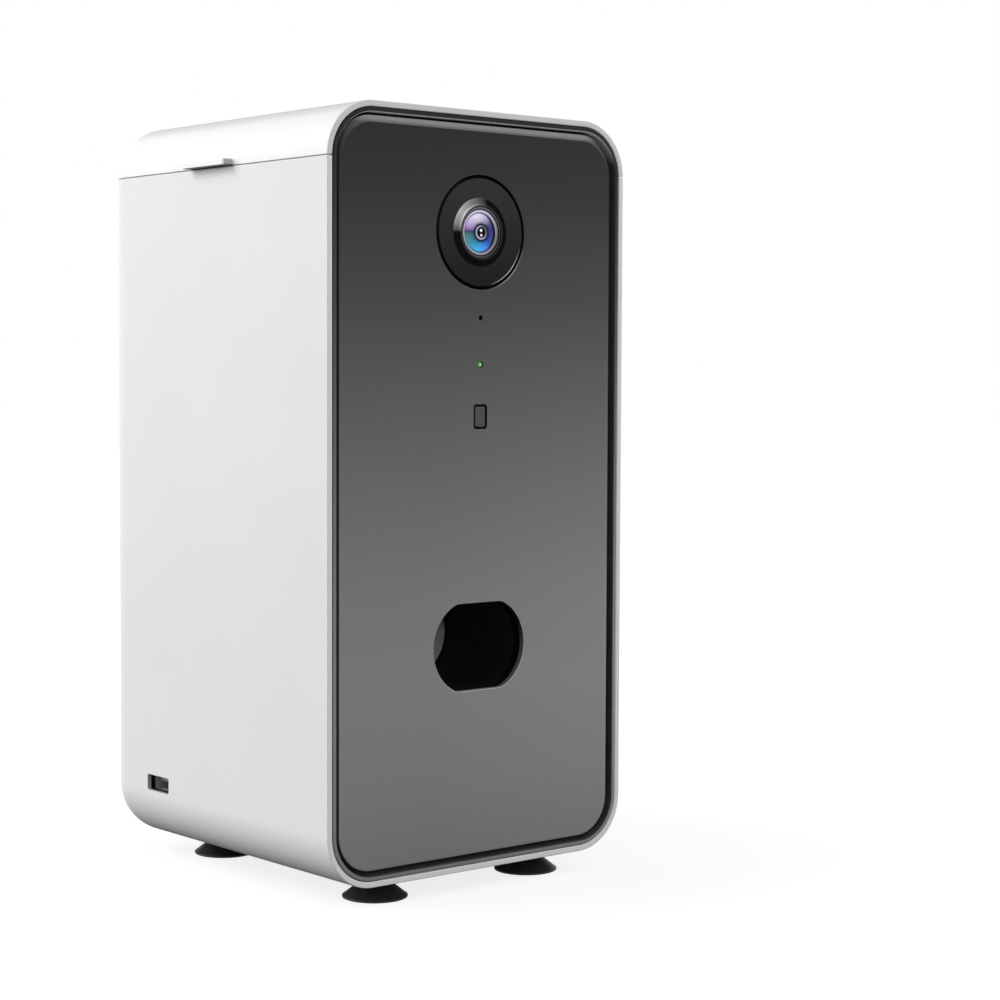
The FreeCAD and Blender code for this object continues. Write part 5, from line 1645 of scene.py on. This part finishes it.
def make_stage(context):
    stage = settings(context.scene.petcam_stage)
    make_floor()
    make_world(stage.ambient)
    add_lamp("Key Softbox", (-0.78, 0.58, 0.46), 1.8, 1.5, stage.key, glossy=True)
    add_lamp("Fill Softbox", (-0.25, -0.95, 0.15), 1.2, 0.9, stage.fill)
    add_lamp("Top Softbox", (0.64, -0.5, 0.58), 1.2, 0.45, stage.strip)
    add_camera(stage.lens)
    context.scene.view_settings.view_transform = "Standard"


# ---- operators and panel ----
class PieceOperator:
    """What the operators share: each makes its pieces and reports that it is done"""

    bl_options = {"REGISTER", "UNDO"}
    make = ()

    def execute(self, context):
        for step in type(self).make:
            step(context)
        return {"FINISHED"}


class PETCAM_OT_tub(PieceOperator, bpy.types.Operator):
    """Make the tub with its knuckles, socket slot, grille and screw recesses"""

    bl_idname = "petcam.tub"
    bl_label = "Tub"
    make = (make_tub,)


class PETCAM_OT_lid(PieceOperator, bpy.types.Operator):
    """Make the lid with its knuckle and finger tab"""

    bl_idname = "petcam.lid"
    bl_label = "Lid"
    make = (make_lid,)


class PETCAM_OT_front_frame(PieceOperator, bpy.types.Operator):
    """Make the dark frame that holds the face panel"""

    bl_idname = "petcam.front_frame"
    bl_label = "Front Frame"
    make = (make_front_frame,)


class PETCAM_OT_face_panel(PieceOperator, bpy.types.Operator):
    """Make the graphite face panel with its openings"""

    bl_idname = "petcam.face_panel"
    bl_label = "Face Panel"
    make = (make_front_panel,)


class PETCAM_OT_camera_window(PieceOperator, bpy.types.Operator):
    """Make the dish, cone, lens ring and lens"""

    bl_idname = "petcam.camera_window"
    bl_label = "Camera Window"
    make = (make_camera_window,)


class PETCAM_OT_status_light(PieceOperator, bpy.types.Operator):
    """Make the status light"""

    bl_idname = "petcam.status_light"
    bl_label = "Status Light"
    make = (make_status_light,)


class PETCAM_OT_toss_key(PieceOperator, bpy.types.Operator):
    """Make the toss key with its collar"""

    bl_idname = "petcam.toss_key"
    bl_label = "Toss Key"
    make = (make_toss_key,)


class PETCAM_OT_launcher(PieceOperator, bpy.types.Operator):
    """Make the pusher's pad and the launch spring"""

    bl_idname = "petcam.launcher"
    bl_label = "Pusher Pad and Spring"
    make = (make_launcher, make_spring)


class PETCAM_OT_socket(PieceOperator, bpy.types.Operator):
    """Make the power socket's sleeve and tongue"""

    bl_idname = "petcam.socket"
    bl_label = "Power Socket"
    make = (make_socket,)


class PETCAM_OT_feet(PieceOperator, bpy.types.Operator):
    """Make the four suction cups"""

    bl_idname = "petcam.feet"
    bl_label = "Suction Cups"
    make = (make_feet,)


class PETCAM_OT_screws(PieceOperator, bpy.types.Operator):
    """Make the base screws and the liner's screws"""

    bl_idname = "petcam.screws"
    bl_label = "Screws"
    make = (make_screws,)


class PETCAM_OT_works(PieceOperator, bpy.types.Operator):
    """Give the inner works their finishes"""

    bl_idname = "petcam.works"
    bl_label = "Inner Works"
    make = (dress_works,)


class PETCAM_OT_stage(PieceOperator, bpy.types.Operator):
    """Set the floor, the light and the camera"""

    bl_idname = "petcam.stage"
    bl_label = "Stage"
    make = (make_stage,)


OPERATORS = (
    PETCAM_OT_stage, PETCAM_OT_tub, PETCAM_OT_lid, PETCAM_OT_front_frame, PETCAM_OT_face_panel,
    PETCAM_OT_camera_window, PETCAM_OT_status_light, PETCAM_OT_toss_key, PETCAM_OT_launcher,
    PETCAM_OT_socket, PETCAM_OT_feet, PETCAM_OT_screws, PETCAM_OT_works,
)


class PETCAM_PT_panel(bpy.types.Panel):
    """The pet camera's pieces and their settings"""

    bl_idname = "PETCAM_PT_panel"
    bl_label = "Pet Camera"
    bl_space_type = "VIEW_3D"
    bl_region_type = "UI"
    bl_category = "Pet Camera"

    def draw(self, context):
        for operator in OPERATORS:
            self.layout.operator(operator.bl_idname)
        for name, group in GROUPS.items():
            box = self.layout.box()
            box.label(text=name.removeprefix("petcam_").title())
            for key in group.__annotations__:
                box.prop(getattr(context.scene, name), key)


CLASSES = (*GROUPS.values(), *OPERATORS, PETCAM_PT_panel)


def register():
    for cls in CLASSES:
        bpy.utils.register_class(cls)
    for name, group in GROUPS.items():
        setattr(bpy.types.Scene, name, PointerProperty(type=group))


def unregister():
    for name in GROUPS:
        delattr(bpy.types.Scene, name)
    for cls in reversed(CLASSES):
        bpy.utils.unregister_class(cls)


def main():
    register()
    for operator in OPERATORS:
        family, name = operator.bl_idname.split(".")
        getattr(getattr(bpy.ops, family), name)()


if __name__ == "__main__":
    main()
